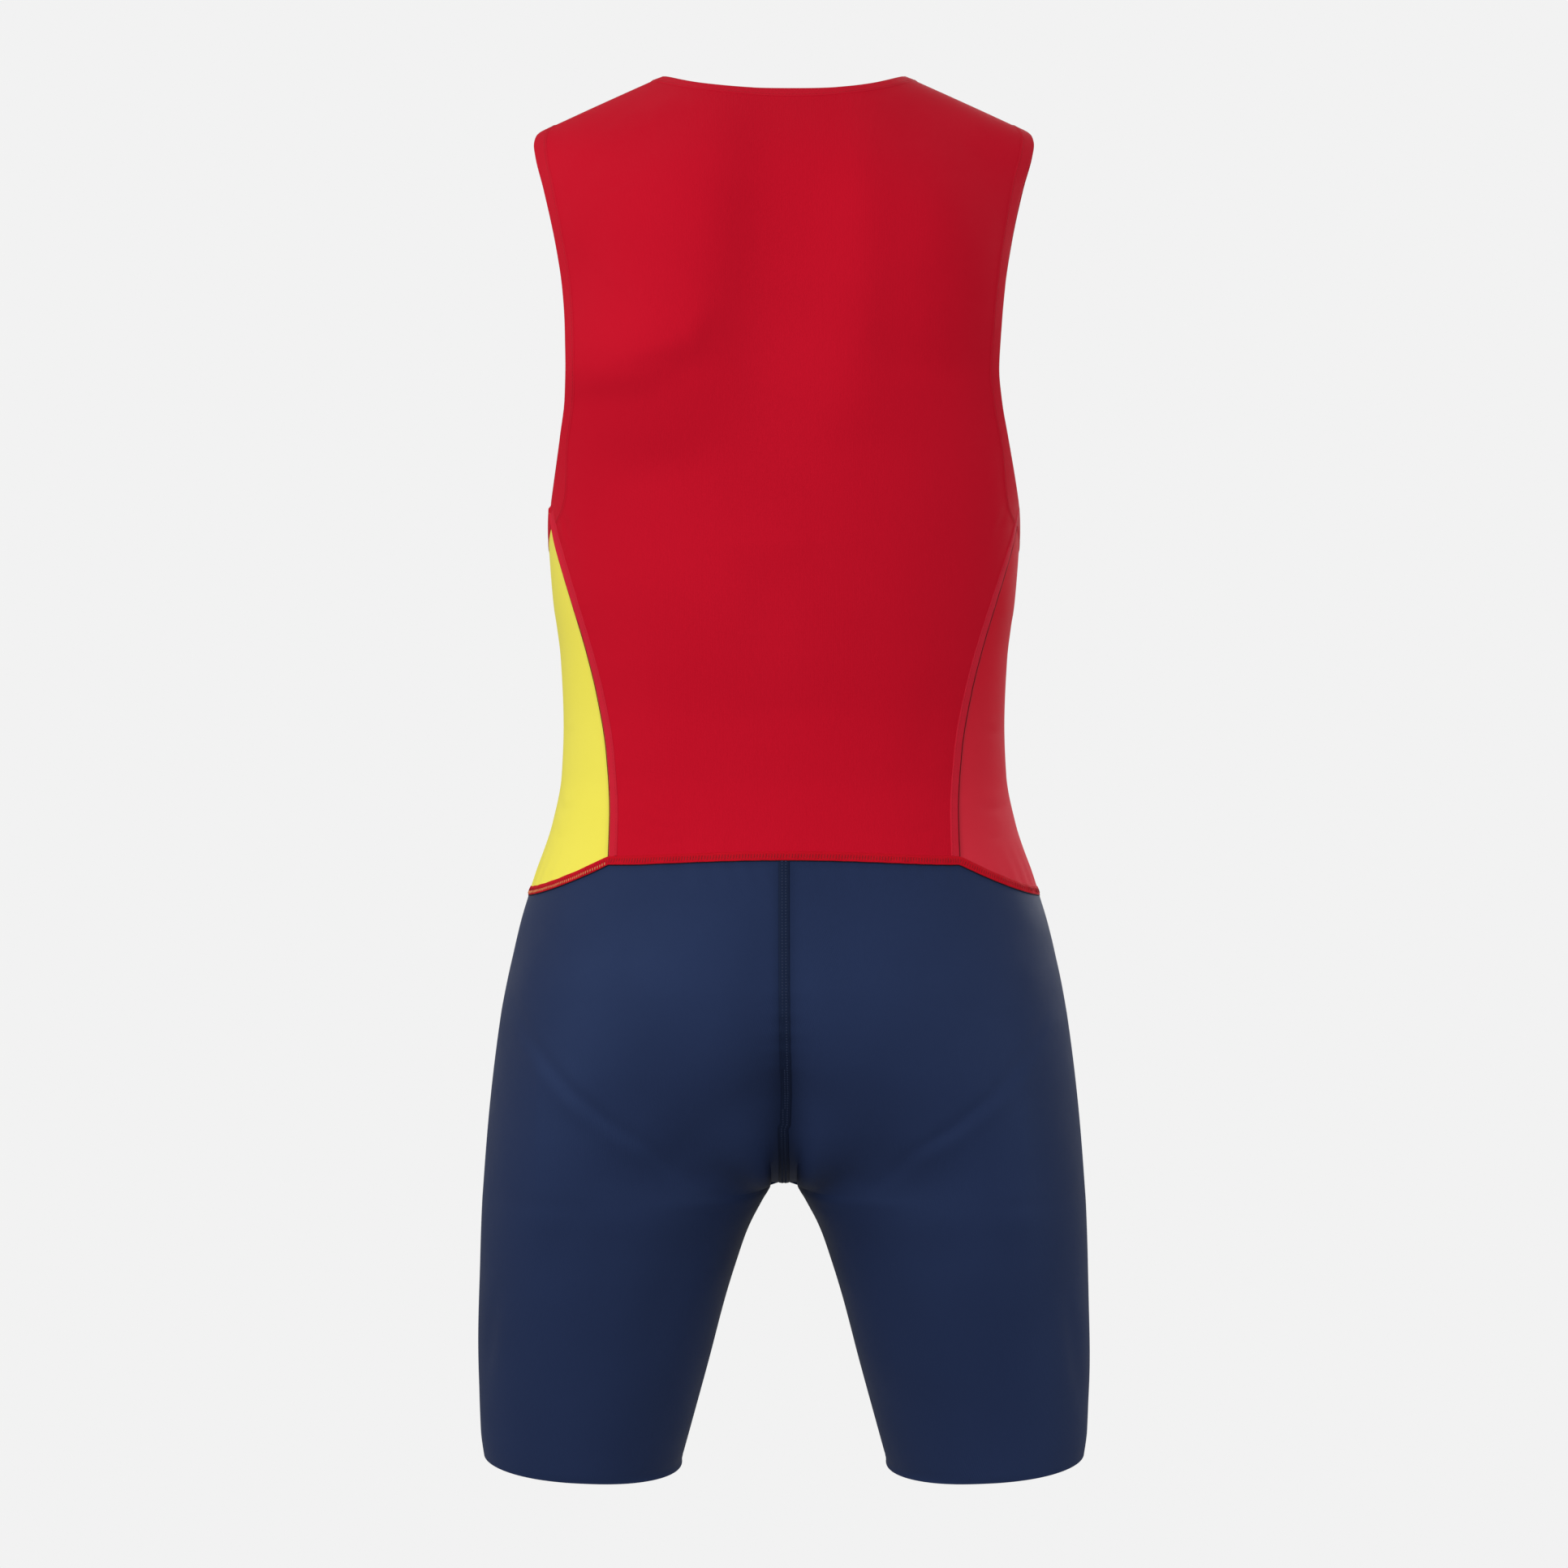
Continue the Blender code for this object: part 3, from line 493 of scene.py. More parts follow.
@dataclass
class LegForm:
    """The form of the left half of the shorts: half of the hips, and one leg."""

    trunk: TrunkForm
    cut: Cut
    crotch: float = -0.6898
    flat_half: float = 0.0080
    seat_turn: float = -0.5600
    hem: float = -0.8662
    hem_tilt: float = 0.0043
    squareness: float = 2.15
    seam_turn_power: float = 0.5
    thigh_turn_power: float = 1.5
    thigh_share: float = 0.22
    seat_share: float = 9.0 / 13.0
    leg_share: float = 0.42
    rings: tuple[LegRing, ...] = (
        LegRing(-0.560, 0.1765, 0.0080, 0.121, 0.103),
        LegRing(-0.607, 0.1838, 0.0080, 0.119, 0.103),
        LegRing(-0.650, 0.1885, 0.0080, 0.111, 0.100),
        LegRing(-0.690, 0.1917, 0.0080, 0.102, 0.096),
        LegRing(-0.700, 0.1924, 0.0130, 0.100, 0.094),
        LegRing(-0.721, 0.1933, 0.0234, 0.095, 0.090),
        LegRing(-0.742, 0.1939, 0.0307, 0.091, 0.086),
        LegRing(-0.763, 0.1943, 0.0372, 0.087, 0.082),
        LegRing(-0.804, 0.1947, 0.0480, 0.080, 0.075),
        LegRing(-0.846, 0.1936, 0.0595, 0.073, 0.068),
        LegRing(-0.867, 0.1908, 0.0653, 0.070, 0.065),
    )
    outer: Profile = field(init=False)
    inner: Profile = field(init=False)
    back: Profile = field(init=False)
    front: Profile = field(init=False)

    def __post_init__(self) -> None:
        """Make the curves through the table of rings."""
        self.outer = Profile(self.rings, "outer")
        self.inner = Profile(self.rings, "inner")
        self.back = Profile(self.rings, "back")
        self.front = Profile(self.rings, "front")

    def ring_point(self, share: Array, z: Array) -> Array:
        """Points of the leg's ring, from its inner edge round the front, the outer side and the back.

        Args:
            share: Part of the way round, 0 to 1.
            z: Height.

        Returns:
            The points of the ring.
        """
        turn = 2.0 * math.pi * share
        middle = (self.outer(z) + self.inner(z)) / 2.0
        radius = (self.outer(z) - self.inner(z)) / 2.0
        depth = np.where(share < 0.5, self.front(z), self.back(z))
        x = middle - radius * power(np.cos(turn), 2.0 / self.squareness)
        return stack(x, -depth * power(np.sin(turn), 2.0 / self.squareness), z)

    def ring_depth(self, x: Array, z: Array, back: Array) -> Array:
        """Distance of the leg's ring from the middle plane, behind it or before it.

        Args:
            x: Distance from the middle plane.
            z: Height.
            back: Whether the cloth is behind the middle plane.

        Returns:
            The distance, 0 or more.
        """
        middle = (self.outer(z) + self.inner(z)) / 2.0
        radius = (self.outer(z) - self.inner(z)) / 2.0
        across = np.minimum(1.0, np.abs(x - middle) / radius)
        depth = np.where(back, self.back(z), self.front(z))
        return depth * (1.0 - across**self.squareness) ** (1.0 / self.squareness)

    def keep(self, share: Array, z: Array) -> Array:
        """How much of the hips' form is left at a height, where the seat turns under into the leg.

        Args:
            share: Part of the way round, 0 to 1.
            z: Height.

        Returns:
            The share, 1 at the seat's turn.
        """
        fall = np.clip((self.seat_turn - z) / (self.seat_turn - self.crotch), 0.0, 1.0)
        from_seam = smooth(np.minimum(share, 1.0 - share) / self.thigh_share)
        exponent = self.seam_turn_power + (self.thigh_turn_power - self.seam_turn_power) * from_seam
        return (1.0 - fall * fall) ** exponent

    def point(self, share: Array, z: Array) -> Array:
        """Points of the left half: share runs from the front seam, 0, round to the back seam, 1.

        Args:
            share: Part of the way round, 0 to 1.
            z: Height.

        Returns:
            The points of the left half.
        """
        on_leg = self.ring_point(share, z)
        keep = np.where(z <= self.crotch, 0.0, self.keep(share, z))
        back = share > 0.5
        hip = self.trunk.point((2.0 * share - 1.0) * self.trunk.turn_at(self.flat_half, z), z)
        x = hip[..., 0] * keep + on_leg[..., 0] * (1.0 - keep)
        depth = self.trunk.depth(x, z, back) * keep + self.ring_depth(x, z, back) * (1.0 - keep)
        blended = stack(x, np.where(back, depth, -depth), z)
        return np.where((z <= self.crotch)[..., None], on_leg, blended)

    def rise(self, level: Array) -> Array:
        """Share of the way up the centre seam, from the crotch to the waist, at a share of the rows.

        Args:
            level: Share of the rows above the crotch.

        Returns:
            The share of the way up.
        """
        centre = self.cut.waist_centre - self.crotch
        turned = self.seat_turn - self.crotch
        low = turned * (1.0 - np.cos(np.clip(level / self.seat_share, 0.0, 1.0) * math.pi / 2.0)) / centre
        high = (turned + (centre - turned) * (level - self.seat_share) / (1.0 - self.seat_share)) / centre
        return np.where(level <= self.seat_share, low, high)

    def height(self, share: Array, rise: Array) -> Array:
        """Height of a row of the shorts, at a share of the way from the hem to the waist.

        Args:
            share: Part of the way round, 0 to 1.
            rise: Share of the rows, from hem to waist.

        Returns:
            The height of each point.
        """
        hem = self.hem - self.hem_tilt * np.cos(2.0 * math.pi * share)
        leg = hem + (self.crotch - hem) * rise / self.leg_share
        level = np.clip((rise - self.leg_share) / (1.0 - self.leg_share), 0.0, 1.0)
        painted_seam_shade = np.cos(math.pi * share) ** 2
        climb = level + (self.rise(level) - level) * painted_seam_shade
        start = self.trunk.turn_at(self.flat_half, self.cut.waist_centre)
        top = self.cut.waist_seam(np.abs(2.0 * share - 1.0) * start)
        return np.where(rise <= self.leg_share, leg, self.crotch + (top - self.crotch) * climb)


# Creases listed one by one


END_FADE_POWER = 0.8
RIDGE_PLACE = 1.9
RIDGE_REACH = 1.3


@dataclass(frozen=True)
class Crease:
    """A soft trough in the cloth with a ridge along one side of it, fading out at both ends."""

    path: tuple[tuple[float, float], ...]
    depth: float
    reach: float
    ridge: float = 0.5
    spread: float = 1.0

    def relief(self, x: Array, z: Array) -> Array:
        """How far the crease lifts the cloth at points seen from behind or from the front.

        Args:
            x: Distance of the points from the middle.
            z: Height of the points.

        Returns:
            The lift in metres, less than 0 in the trough.
        """
        corners = np.array(self.path)
        runs = np.linalg.norm(np.diff(corners, axis=0), axis=1)
        ends = np.concatenate([[0.0], np.cumsum(runs)])
        best = np.full(x.shape, np.inf)
        offset = np.zeros(x.shape)
        along = np.zeros(x.shape)
        for i, run in enumerate(runs):
            step = (corners[i + 1] - corners[i]) / run
            dx, dz = x - corners[i, 0], z - corners[i, 1]
            t = np.clip(dx * step[0] + dz * step[1], 0.0, run)
            off_x, off_z = dx - t * step[0], dz - t * step[1]
            distance = np.hypot(off_x, off_z)
            closer = distance < best
            best = np.where(closer, distance, best)
            offset = np.where(closer, off_x * -step[1] + off_z * step[0], offset)
            along = np.where(closer, (ends[i] + t) / ends[-1], along)
        signed = np.copysign(best, offset)
        fade = np.sin(math.pi * np.clip(along, 0.0, 1.0)) ** END_FADE_POWER
        trough = -bell(signed, np.where(signed > 0.0, self.reach * self.spread, self.reach))
        raised = self.ridge * bell(signed - RIDGE_PLACE * self.reach, RIDGE_REACH * self.reach)
        return self.depth * fade * (trough + raised)


BACK_CREASES = (
    Crease(((0.013, 0.060), (0.012, -0.060), (0.016, -0.150), (0.010, -0.290)), 0.0046, 0.0400, 0.0, 0.6),
    Crease(((0.000, -0.120), (0.001, -0.250), (-0.002, -0.390)), -0.0040, 0.0300, 0.0),
    Crease(
        ((0.054, 0.060), (0.052, -0.020), (0.050, -0.120), (0.055, -0.152), (0.068, -0.173), (0.092, -0.184),
         (0.130, -0.187), (0.200, -0.184)),
        -0.0080, 0.0400, 0.0, 1.5,
    ),
    Crease(
        ((0.044, -0.140), (0.060, -0.168), (0.092, -0.180), (0.130, -0.182), (0.190, -0.178)),
        -0.0072, 0.0135, 0.0, 2.4,
    ),
    Crease(
        ((0.020, -0.236), (0.060, -0.258), (0.100, -0.264), (0.140, -0.262), (0.190, -0.256)),
        0.0070, 0.0450, 0.0,
    ),
    Crease(((-0.102, -0.060), (-0.112, -0.125), (-0.103, -0.205)), -0.0034, 0.0300, 0.0),
    Crease(((-0.128, 0.050), (-0.130, -0.050), (-0.122, -0.150)), 0.0048, 0.0380, 0.0),
    Crease(((-0.050, 0.020), (-0.048, -0.060), (-0.047, -0.140), (-0.044, -0.230)), -0.0030, 0.0180, 0.0),
    Crease(((0.136, -0.186), (0.112, -0.1835), (0.088, -0.1840), (0.064, -0.1780)), 0.0008, 0.0048, 0.9),
    Crease(((0.126, -0.176), (0.106, -0.1775), (0.092, -0.176)), 0.0004, 0.0022),
    Crease(((0.122, -0.180), (0.104, -0.182)), 0.0003, 0.0018),
    Crease(((-0.128, -0.178), (-0.100, -0.186), (-0.072, -0.180), (-0.050, -0.164)), 0.0011, 0.0120, 0.7),
    Crease(((-0.080, -0.126), (-0.092, -0.134), (-0.104, -0.136)), 0.0005, 0.0060),
    Crease(((0.124, -0.078), (0.106, -0.072), (0.090, -0.071), (0.074, -0.076)), 0.0004, 0.0020),
    Crease(((0.112, -0.074), (0.094, -0.067), (0.082, -0.069)), 0.0003, 0.0016),
    Crease(((0.118, -0.232), (0.092, -0.244), (0.060, -0.242), (0.036, -0.232)), 0.0009, 0.0130, 0.5),
    Crease(((0.1395, -0.2660), (0.1375, -0.2740), (0.1365, -0.2850)), 0.0011, 0.0016, 0.6),
    Crease(((0.1360, -0.2680), (0.1350, -0.2790), (0.1325, -0.2900)), 0.0006, 0.0014, 0.5),
    Crease(((-0.1390, -0.2600), (-0.1360, -0.2700), (-0.1310, -0.2860)), 0.0007, 0.0020, 0.6),
    Crease(((0.086, -0.448), (0.076, -0.453), (0.064, -0.456)), 0.0004, 0.0020),
    Crease(((0.092, -0.455), (0.078, -0.462), (0.066, -0.464)), 0.0004, 0.0022),
    Crease(((0.081, -0.470), (0.068, -0.472), (0.050, -0.468)), 0.0005, 0.0035),
    Crease(((0.100, -0.424), (0.0995, -0.436), (0.1000, -0.448)), 0.0006, 0.0024),
    Crease(((-0.070, -0.462), (-0.084, -0.466), (-0.098, -0.462)), 0.0004, 0.0030),
    Crease(((0.010, -0.300), (0.014, -0.350), (0.008, -0.410)), 0.0008, 0.0160, 0.4),
    Crease(((-0.100, -0.360), (-0.090, -0.400), (-0.084, -0.440)), 0.0006, 0.0110, 0.5),
)
FRONT_CREASES = (
    Crease(((-0.120, -0.196), (-0.092, -0.206), (-0.060, -0.200), (-0.040, -0.184)), 0.0009, 0.0100, 0.7),
    Crease(((0.122, -0.190), (0.100, -0.202), (0.070, -0.203)), 0.0008, 0.0090, 0.7),
    Crease(((0.126, -0.256), (0.110, -0.270), (0.096, -0.292)), 0.0007, 0.0060, 0.5),
    Crease(((-0.124, -0.250), (-0.106, -0.268), (-0.088, -0.282)), 0.0006, 0.0055, 0.5),
    Crease(((0.050, -0.094), (0.064, -0.078), (0.078, -0.066)), 0.0005, 0.0040),
    Crease(((-0.046, -0.100), (-0.062, -0.082), (-0.080, -0.072)), 0.0005, 0.0045),
    Crease(((0.084, -0.446), (0.060, -0.455), (0.036, -0.453)), 0.0006, 0.0050),
    Crease(((-0.090, -0.452), (-0.068, -0.462), (-0.044, -0.460)), 0.0005, 0.0040),
    Crease(((0.012, -0.300), (0.006, -0.350), (0.010, -0.400)), 0.0006, 0.0150, 0.4),
)
SIDE_CREASES = (
    Crease(((0.020, -0.400), (0.030, -0.404), (0.042, -0.401)), 0.0004, 0.0020),
    Crease(((0.024, -0.446), (0.036, -0.452), (0.050, -0.450)), 0.0006, 0.0028),
    Crease(((0.030, -0.462), (0.042, -0.470), (0.052, -0.468)), 0.0004, 0.0022),
    Crease(((-0.046, -0.424), (-0.028, -0.430), (-0.010, -0.427)), 0.0005, 0.0030),
    Crease(((-0.030, -0.330), (-0.010, -0.336), (0.012, -0.333)), 0.0004, 0.0040),
)
SEAT_CREASES = (
    Crease(((0.000, -0.500), (0.001, -0.560), (0.000, -0.640), (0.000, -0.720)), 0.0042, 0.0230, 0.25),
    Crease(((-0.150, -0.646), (0.150, -0.646)), 0.0092, 0.0520, 0.0),
    Crease(((0.020, -0.662), (0.050, -0.672), (0.086, -0.676), (0.120, -0.668)), 0.0018, 0.0170, 0.6),
    Crease(
        ((0.173, -0.560), (0.158, -0.588), (0.140, -0.610), (0.130, -0.621), (0.105, -0.641), (0.083, -0.655),
         (0.070, -0.668), (0.050, -0.684)),
        0.0007, 0.0042, 0.6,
    ),
    Crease(((0.150, -0.520), (0.168, -0.546), (0.176, -0.580)), 0.0008, 0.0110, 0.5),
    Crease(((0.030, -0.520), (0.046, -0.556), (0.050, -0.600)), 0.0007, 0.0140, 0.4),
    Crease(((0.176, -0.742), (0.181, -0.768), (0.186, -0.800), (0.190, -0.826)), 0.0009, 0.0050, 0.7),
    Crease(((0.020, -0.686), (0.040, -0.676), (0.062, -0.680)), 0.0007, 0.0060, 0.6),
    Crease(((0.060, -0.720), (0.072, -0.752), (0.078, -0.790)), 0.0006, 0.0100, 0.5),
    Crease(((0.120, -0.690), (0.138, -0.716), (0.144, -0.750)), 0.0006, 0.0120, 0.5),
)
LAP_CREASES = (
    Crease(((0.020, -0.676), (0.050, -0.656), (0.090, -0.632), (0.130, -0.600)), 0.0009, 0.0120, 0.5),
    Crease(((0.026, -0.690), (0.056, -0.682), (0.090, -0.666)), 0.0007, 0.0060, 0.6),
    Crease(((0.018, -0.560), (0.030, -0.600), (0.026, -0.640)), 0.0006, 0.0100, 0.4),
    Crease(((0.090, -0.720), (0.100, -0.760), (0.098, -0.800)), 0.0006, 0.0120, 0.5),
)


PUCKER_SWAYS = ((0.35, 41.0, 0.7), (0.25, 97.0, 2.1))
PUCKER_DRIFT = 1.6
PUCKER_DRIFT_RATE = 53.0


def folds(creases: tuple[Crease, ...], x: Array, z: Array) -> Array:
    """Sum of the creases' relief at points given by their distance out and their height."""
    return sum(crease.relief(x, z) for crease in creases)


def puckers(along: Array, away: Array, pitch: float, height: float, fade: float) -> Array:
    """Small uneven ripples that a row of stitches draws into the cloth beside it.

    Args:
        along: Distance along the seam.
        away: Distance from the seam.
        pitch: Usual length of a ripple.
        height: Largest height of a ripple.
        fade: Distance over which they fade.

    Returns:
        The lift in metres.
    """
    sway = 1.0
    for share, rate, start in PUCKER_SWAYS:
        sway = sway + share * np.sin(along * rate + start)
    wave = np.sin(2.0 * math.pi * along / pitch + PUCKER_DRIFT * np.sin(along * PUCKER_DRIFT_RATE))
    return height * sway * wave * bell(away, fade)


# Finishes


GLOSS_DRIFT = 0.05
KNIT_DEPTH = 0.0002
KNIT_LOOPS = (1250.0, 1600.0, 1.0)
LOOP_LEAN = 0.5
LOOP_SHARE = 0.3
DRIFT_SIZES = (("Tone", 7.0, 2.0), ("Gloss", 26.0, 3.0))
DRIFT_RANGE = (0.3, 0.7)
THREAD_SPECULAR = 0.15
TWIST_SCALE = 1800.0
TWIST_DARK = 0.65
TWIST_BUMP = 0.4
TWIST_DEPTH = 0.0001


@dataclass(frozen=True)
class ClothFinish:
    """One dyed cloth: two tones that drift over it or change with height, painted shade beside its seams, its
    gloss and its knit.
    """

    name: str
    slot: str
    light: Colour
    dark: Colour
    roughness: float
    specular: float
    tint: Colour
    knit: float
    # Painted shade beside the seams: the dark tone times this factor is the colour at a seam.
    seam_dark: float = 0.75
    # Where heights are given, the tone changes with height instead of drifting: the dark tone below the lower
    # height, the light one above the upper.
    drift_heights: tuple[float, float] | None = None

    def material(self) -> bpy.types.Material:
        """Build the cloth's material, once.

        Returns:
            The material, which reads the piece's own UV map and the point attribute that masks its painted
            seam shade.
        """
        made = bpy.data.materials.get(self.name)
        if made is not None:
            return made
        made = bpy.data.materials.new(self.name)
        made.use_nodes = True
        tree = made.node_tree
        shader = tree.nodes["Principled BSDF"]
        shader.inputs["Specular IOR Level"].default_value = self.specular
        shader.inputs["Specular Tint"].default_value = (*self.tint, 1.0)
        cloth_map = tree.nodes.new("ShaderNodeUVMap")
        cloth_map.uv_map = CLOTH_MAP
        place = tree.nodes.new("ShaderNodeTexCoord")
        seam = tree.nodes.new("ShaderNodeAttribute")
        seam.attribute_name = SEAM_SHADE_MASK
        knit = group_node(tree, knit_group())
        tone = group_node(tree, tone_group())
        tree.links.new(cloth_map.outputs["UV"], knit.inputs["Vector"])
        tree.links.new(place.outputs["Object"], tone.inputs["Vector"])
        drift = ColourMix(tree, self.dark, self.light)
        if self.drift_heights is None:
            tree.links.new(tone.outputs["Tone"], drift.factor)
        else:
            height = tree.nodes.new("ShaderNodeSeparateXYZ")
            fall = tree.nodes.new("ShaderNodeMapRange")
            fall.inputs["From Min"].default_value = self.drift_heights[0]
            fall.inputs["From Max"].default_value = self.drift_heights[1]
            tree.links.new(place.outputs["Object"], height.inputs[0])
            tree.links.new(height.outputs["Z"], fall.inputs["Value"])
            tree.links.new(fall.outputs["Result"], drift.factor)
        # Painted shade: towards a seam the colour darkens to the scaled dark tone.
        shaded = ColourMix(tree, self.light, tuple(value * self.seam_dark for value in self.dark))
        tree.links.new(seam.outputs["Fac"], shaded.factor)
        tree.links.new(drift.result, shaded.low)
        tree.links.new(shaded.result, shader.inputs["Base Color"])
        gloss = tree.nodes.new("ShaderNodeMapRange")
        gloss.inputs["To Min"].default_value = self.roughness + GLOSS_DRIFT
        gloss.inputs["To Max"].default_value = self.roughness - GLOSS_DRIFT
        tree.links.new(tone.outputs["Gloss"], gloss.inputs["Value"])
        tree.links.new(gloss.outputs["Result"], shader.inputs["Roughness"])
        press(tree, shader, knit.outputs["Height"], self.knit, KNIT_DEPTH)
        return made


class ColourMix:
    """A Mix node for two colours, seen through its colour sockets alone."""

    def __init__(self, tree: bpy.types.NodeTree, low: Colour, high: Colour) -> None:
        """Add the node and set its colours.

        Args:
            tree: The material's nodes.
            low: The colour at a factor of 0.
            high: The colour at a factor of 1.
        """
        node = tree.nodes.new("ShaderNodeMix")
        node.data_type = "RGBA"
        self.factor = node.inputs[0]
        self.low, self.high = [socket for socket in node.inputs if socket.type == "RGBA"]
        self.result = next(socket for socket in node.outputs if socket.type == "RGBA")
        self.low.default_value = (*low, 1.0)
        self.high.default_value = (*high, 1.0)


def press(
    tree: bpy.types.NodeTree,
    shader: bpy.types.Node,
    height: bpy.types.NodeSocket,
    strength: float,
    depth: float,
) -> None:
    """Give a shader a fine relief.

    Args:
        tree: The material's nodes.
        shader: The shader that takes the relief.
        height: The output that gives the height.
        strength: How strongly it shows, 0 to 1.
        depth: Its depth in metres.
    """
    bump = tree.nodes.new("ShaderNodeBump")
    bump.inputs["Strength"].default_value = strength
    bump.inputs["Distance"].default_value = depth
    tree.links.new(height, bump.inputs["Height"])
    tree.links.new(bump.outputs["Normal"], shader.inputs["Normal"])


def group_node(tree: bpy.types.NodeTree, group: bpy.types.NodeTree) -> bpy.types.Node:
    """Place a shader node group in a material.

    Args:
        tree: The material's nodes.
        group: The group.

    Returns:
        The node that holds the group.
    """
    node = tree.nodes.new("ShaderNodeGroup")
    node.node_tree = group
    return node


def new_group(name: str, outputs: tuple[str, ...]) -> bpy.types.NodeTree:
    """Start a shader node group with a Vector input.

    Args:
        name: The group's name.
        outputs: Names of its outputs.

    Returns:
        The group, still empty.
    """
    group = bpy.data.node_groups.new(name, "ShaderNodeTree")
    group.interface.new_socket("Vector", in_out="INPUT", socket_type="NodeSocketVector")
    for output in outputs:
        group.interface.new_socket(output, in_out="OUTPUT", socket_type="NodeSocketFloat")
    return group


def knit_group() -> bpy.types.NodeTree:
    """The fine knit of the stretch cloth: columns of small loops over a UV map in metres.

    Returns:
        The node group, with a Vector input and a Height output.
    """
    group = bpy.data.node_groups.get("stretch_knit")
    if group is not None:
        return group
    group = new_group("stretch_knit", ("Height",))
    start = group.nodes.new("NodeGroupInput")
    end = group.nodes.new("NodeGroupOutput")
    scaled = group.nodes.new("ShaderNodeVectorMath")
    scaled.operation = "MULTIPLY"
    scaled.inputs[1].default_value = KNIT_LOOPS
    group.links.new(start.outputs["Vector"], scaled.inputs[0])
    split = group.nodes.new("ShaderNodeSeparateXYZ")
    group.links.new(scaled.outputs["Vector"], split.inputs[0])
    lean = math_node(group, "PINGPONG", split.outputs["X"], LOOP_LEAN)
    course = math_node(group, "ADD", split.outputs["Y"], lean)
    loops = math_node(group, "SINE", math_node(group, "MULTIPLY", course, 2.0 * math.pi))
    wales = math_node(group, "SINE", math_node(group, "MULTIPLY", split.outputs["X"], math.pi))
    rounded = math_node(group, "ABSOLUTE", wales)
    height = math_node(group, "MULTIPLY_ADD", loops, LOOP_SHARE, rounded)
    group.links.new(height, end.inputs["Height"])
    return group


def tone_group() -> bpy.types.NodeTree:
    """Slow drift of tone and gloss over a cloth, at two sizes.

    Returns:
        The node group, with a Vector input and Tone and Gloss outputs from 0 to 1.
    """
    group = bpy.data.node_groups.get("cloth_tone")
    if group is not None:
        return group
    group = new_group("cloth_tone", ("Tone", "Gloss"))
    start = group.nodes.new("NodeGroupInput")
    end = group.nodes.new("NodeGroupOutput")
    for name, scale, detail in DRIFT_SIZES:
        noise = group.nodes.new("ShaderNodeTexNoise")
        noise.inputs["Scale"].default_value = scale
        noise.inputs["Detail"].default_value = detail
        group.links.new(start.outputs["Vector"], noise.inputs["Vector"])
        spread = group.nodes.new("ShaderNodeMapRange")
        spread.inputs["From Min"].default_value = DRIFT_RANGE[0]
        spread.inputs["From Max"].default_value = DRIFT_RANGE[1]
        group.links.new(noise.outputs["Fac"], spread.inputs["Value"])
        group.links.new(spread.outputs["Result"], end.inputs[name])
    return group


def math_node(
    tree: bpy.types.NodeTree, operation: str, *values: bpy.types.NodeSocket | float
) -> bpy.types.NodeSocket:
    """Add a Math node and give its result.

    Args:
        tree: The nodes to add it to.
        operation: What it works out.
        values: Its inputs, each a number or another node's output.

    Returns:
        The node's output.
    """
    node = tree.nodes.new("ShaderNodeMath")
    node.operation = operation
    for socket, value in zip(node.inputs, values):
        if isinstance(value, bpy.types.NodeSocket):
            tree.links.new(value, socket)
        else:
            socket.default_value = value
    return node.outputs[0]


@dataclass(frozen=True)
class ThreadFinish:
    """Sewing thread: its colour, a darker tone in its twist, and its gloss."""

    name: str
    slot: str
    colour: Colour
    roughness: float = 0.5

    def material(self) -> bpy.types.Material:
        """Build the thread's material, once, with a fine twist in its surface.

        Returns:
            The material, which reads the piece's own coordinates.
        """
        made = bpy.data.materials.get(self.name)
        if made is not None:
            return made
        made = bpy.data.materials.new(self.name)
        made.use_nodes = True
        tree = made.node_tree
        shader = tree.nodes["Principled BSDF"]
        shader.inputs["Specular IOR Level"].default_value = THREAD_SPECULAR
        shader.inputs["Roughness"].default_value = self.roughness
        place = tree.nodes.new("ShaderNodeTexCoord")
        noise = tree.nodes.new("ShaderNodeTexNoise")
        noise.inputs["Scale"].default_value = TWIST_SCALE
        tree.links.new(place.outputs["Object"], noise.inputs["Vector"])
        twist = ColourMix(tree, tuple(TWIST_DARK * value for value in self.colour), self.colour)
        tree.links.new(noise.outputs["Fac"], twist.factor)
        tree.links.new(twist.result, shader.inputs["Base Color"])
        press(tree, shader, noise.outputs["Fac"], TWIST_BUMP, TWIST_DEPTH)
        return made


# The painted shade beside the seams darkens each cloth's dark tone by a factor, 0.75 unless given.
RED = ClothFinish(
    "red_stretch_knit", "red_cloth", light=(0.560, 0.0068, 0.0225), dark=(0.525, 0.0058, 0.0200),
    roughness=0.62, specular=0.04, tint=(1.0, 0.10, 0.16), knit=0.30,
)
# Paler towards the bottom: its dark tone, used at the lower height, is the paler one.
PALE_RED = ClothFinish(
    "pale_red_stretch_knit", "pale_red_cloth", light=(0.590, 0.0085, 0.0230), dark=(0.660, 0.0310, 0.0520),
    roughness=0.62, specular=0.06, tint=(1.0, 0.30, 0.35), knit=0.30, drift_heights=(-0.490, -0.330),
)
YELLOW = ClothFinish(
    "yellow_stretch_knit", "yellow_cloth", light=(0.905, 0.812, 0.112), dark=(0.875, 0.780, 0.088),
    roughness=0.55, specular=0.14, tint=(1.0, 0.90, 0.30), knit=0.30, seam_dark=0.85,
)
NAVY = ClothFinish(
    "navy_stretch_knit", "navy_cloth", light=(0.0188, 0.0308, 0.0822), dark=(0.0156, 0.0254, 0.0680),
    roughness=0.50, specular=0.20, tint=(0.24, 0.44, 1.0), knit=0.30, seam_dark=0.7,
)
BINDING = ClothFinish(
    "red_binding_knit", "red_binding", light=(0.560, 0.0090, 0.0250), dark=(0.530, 0.0080, 0.0230),
    roughness=0.62, specular=0.06, tint=(1.0, 0.12, 0.16), knit=0.40,
)
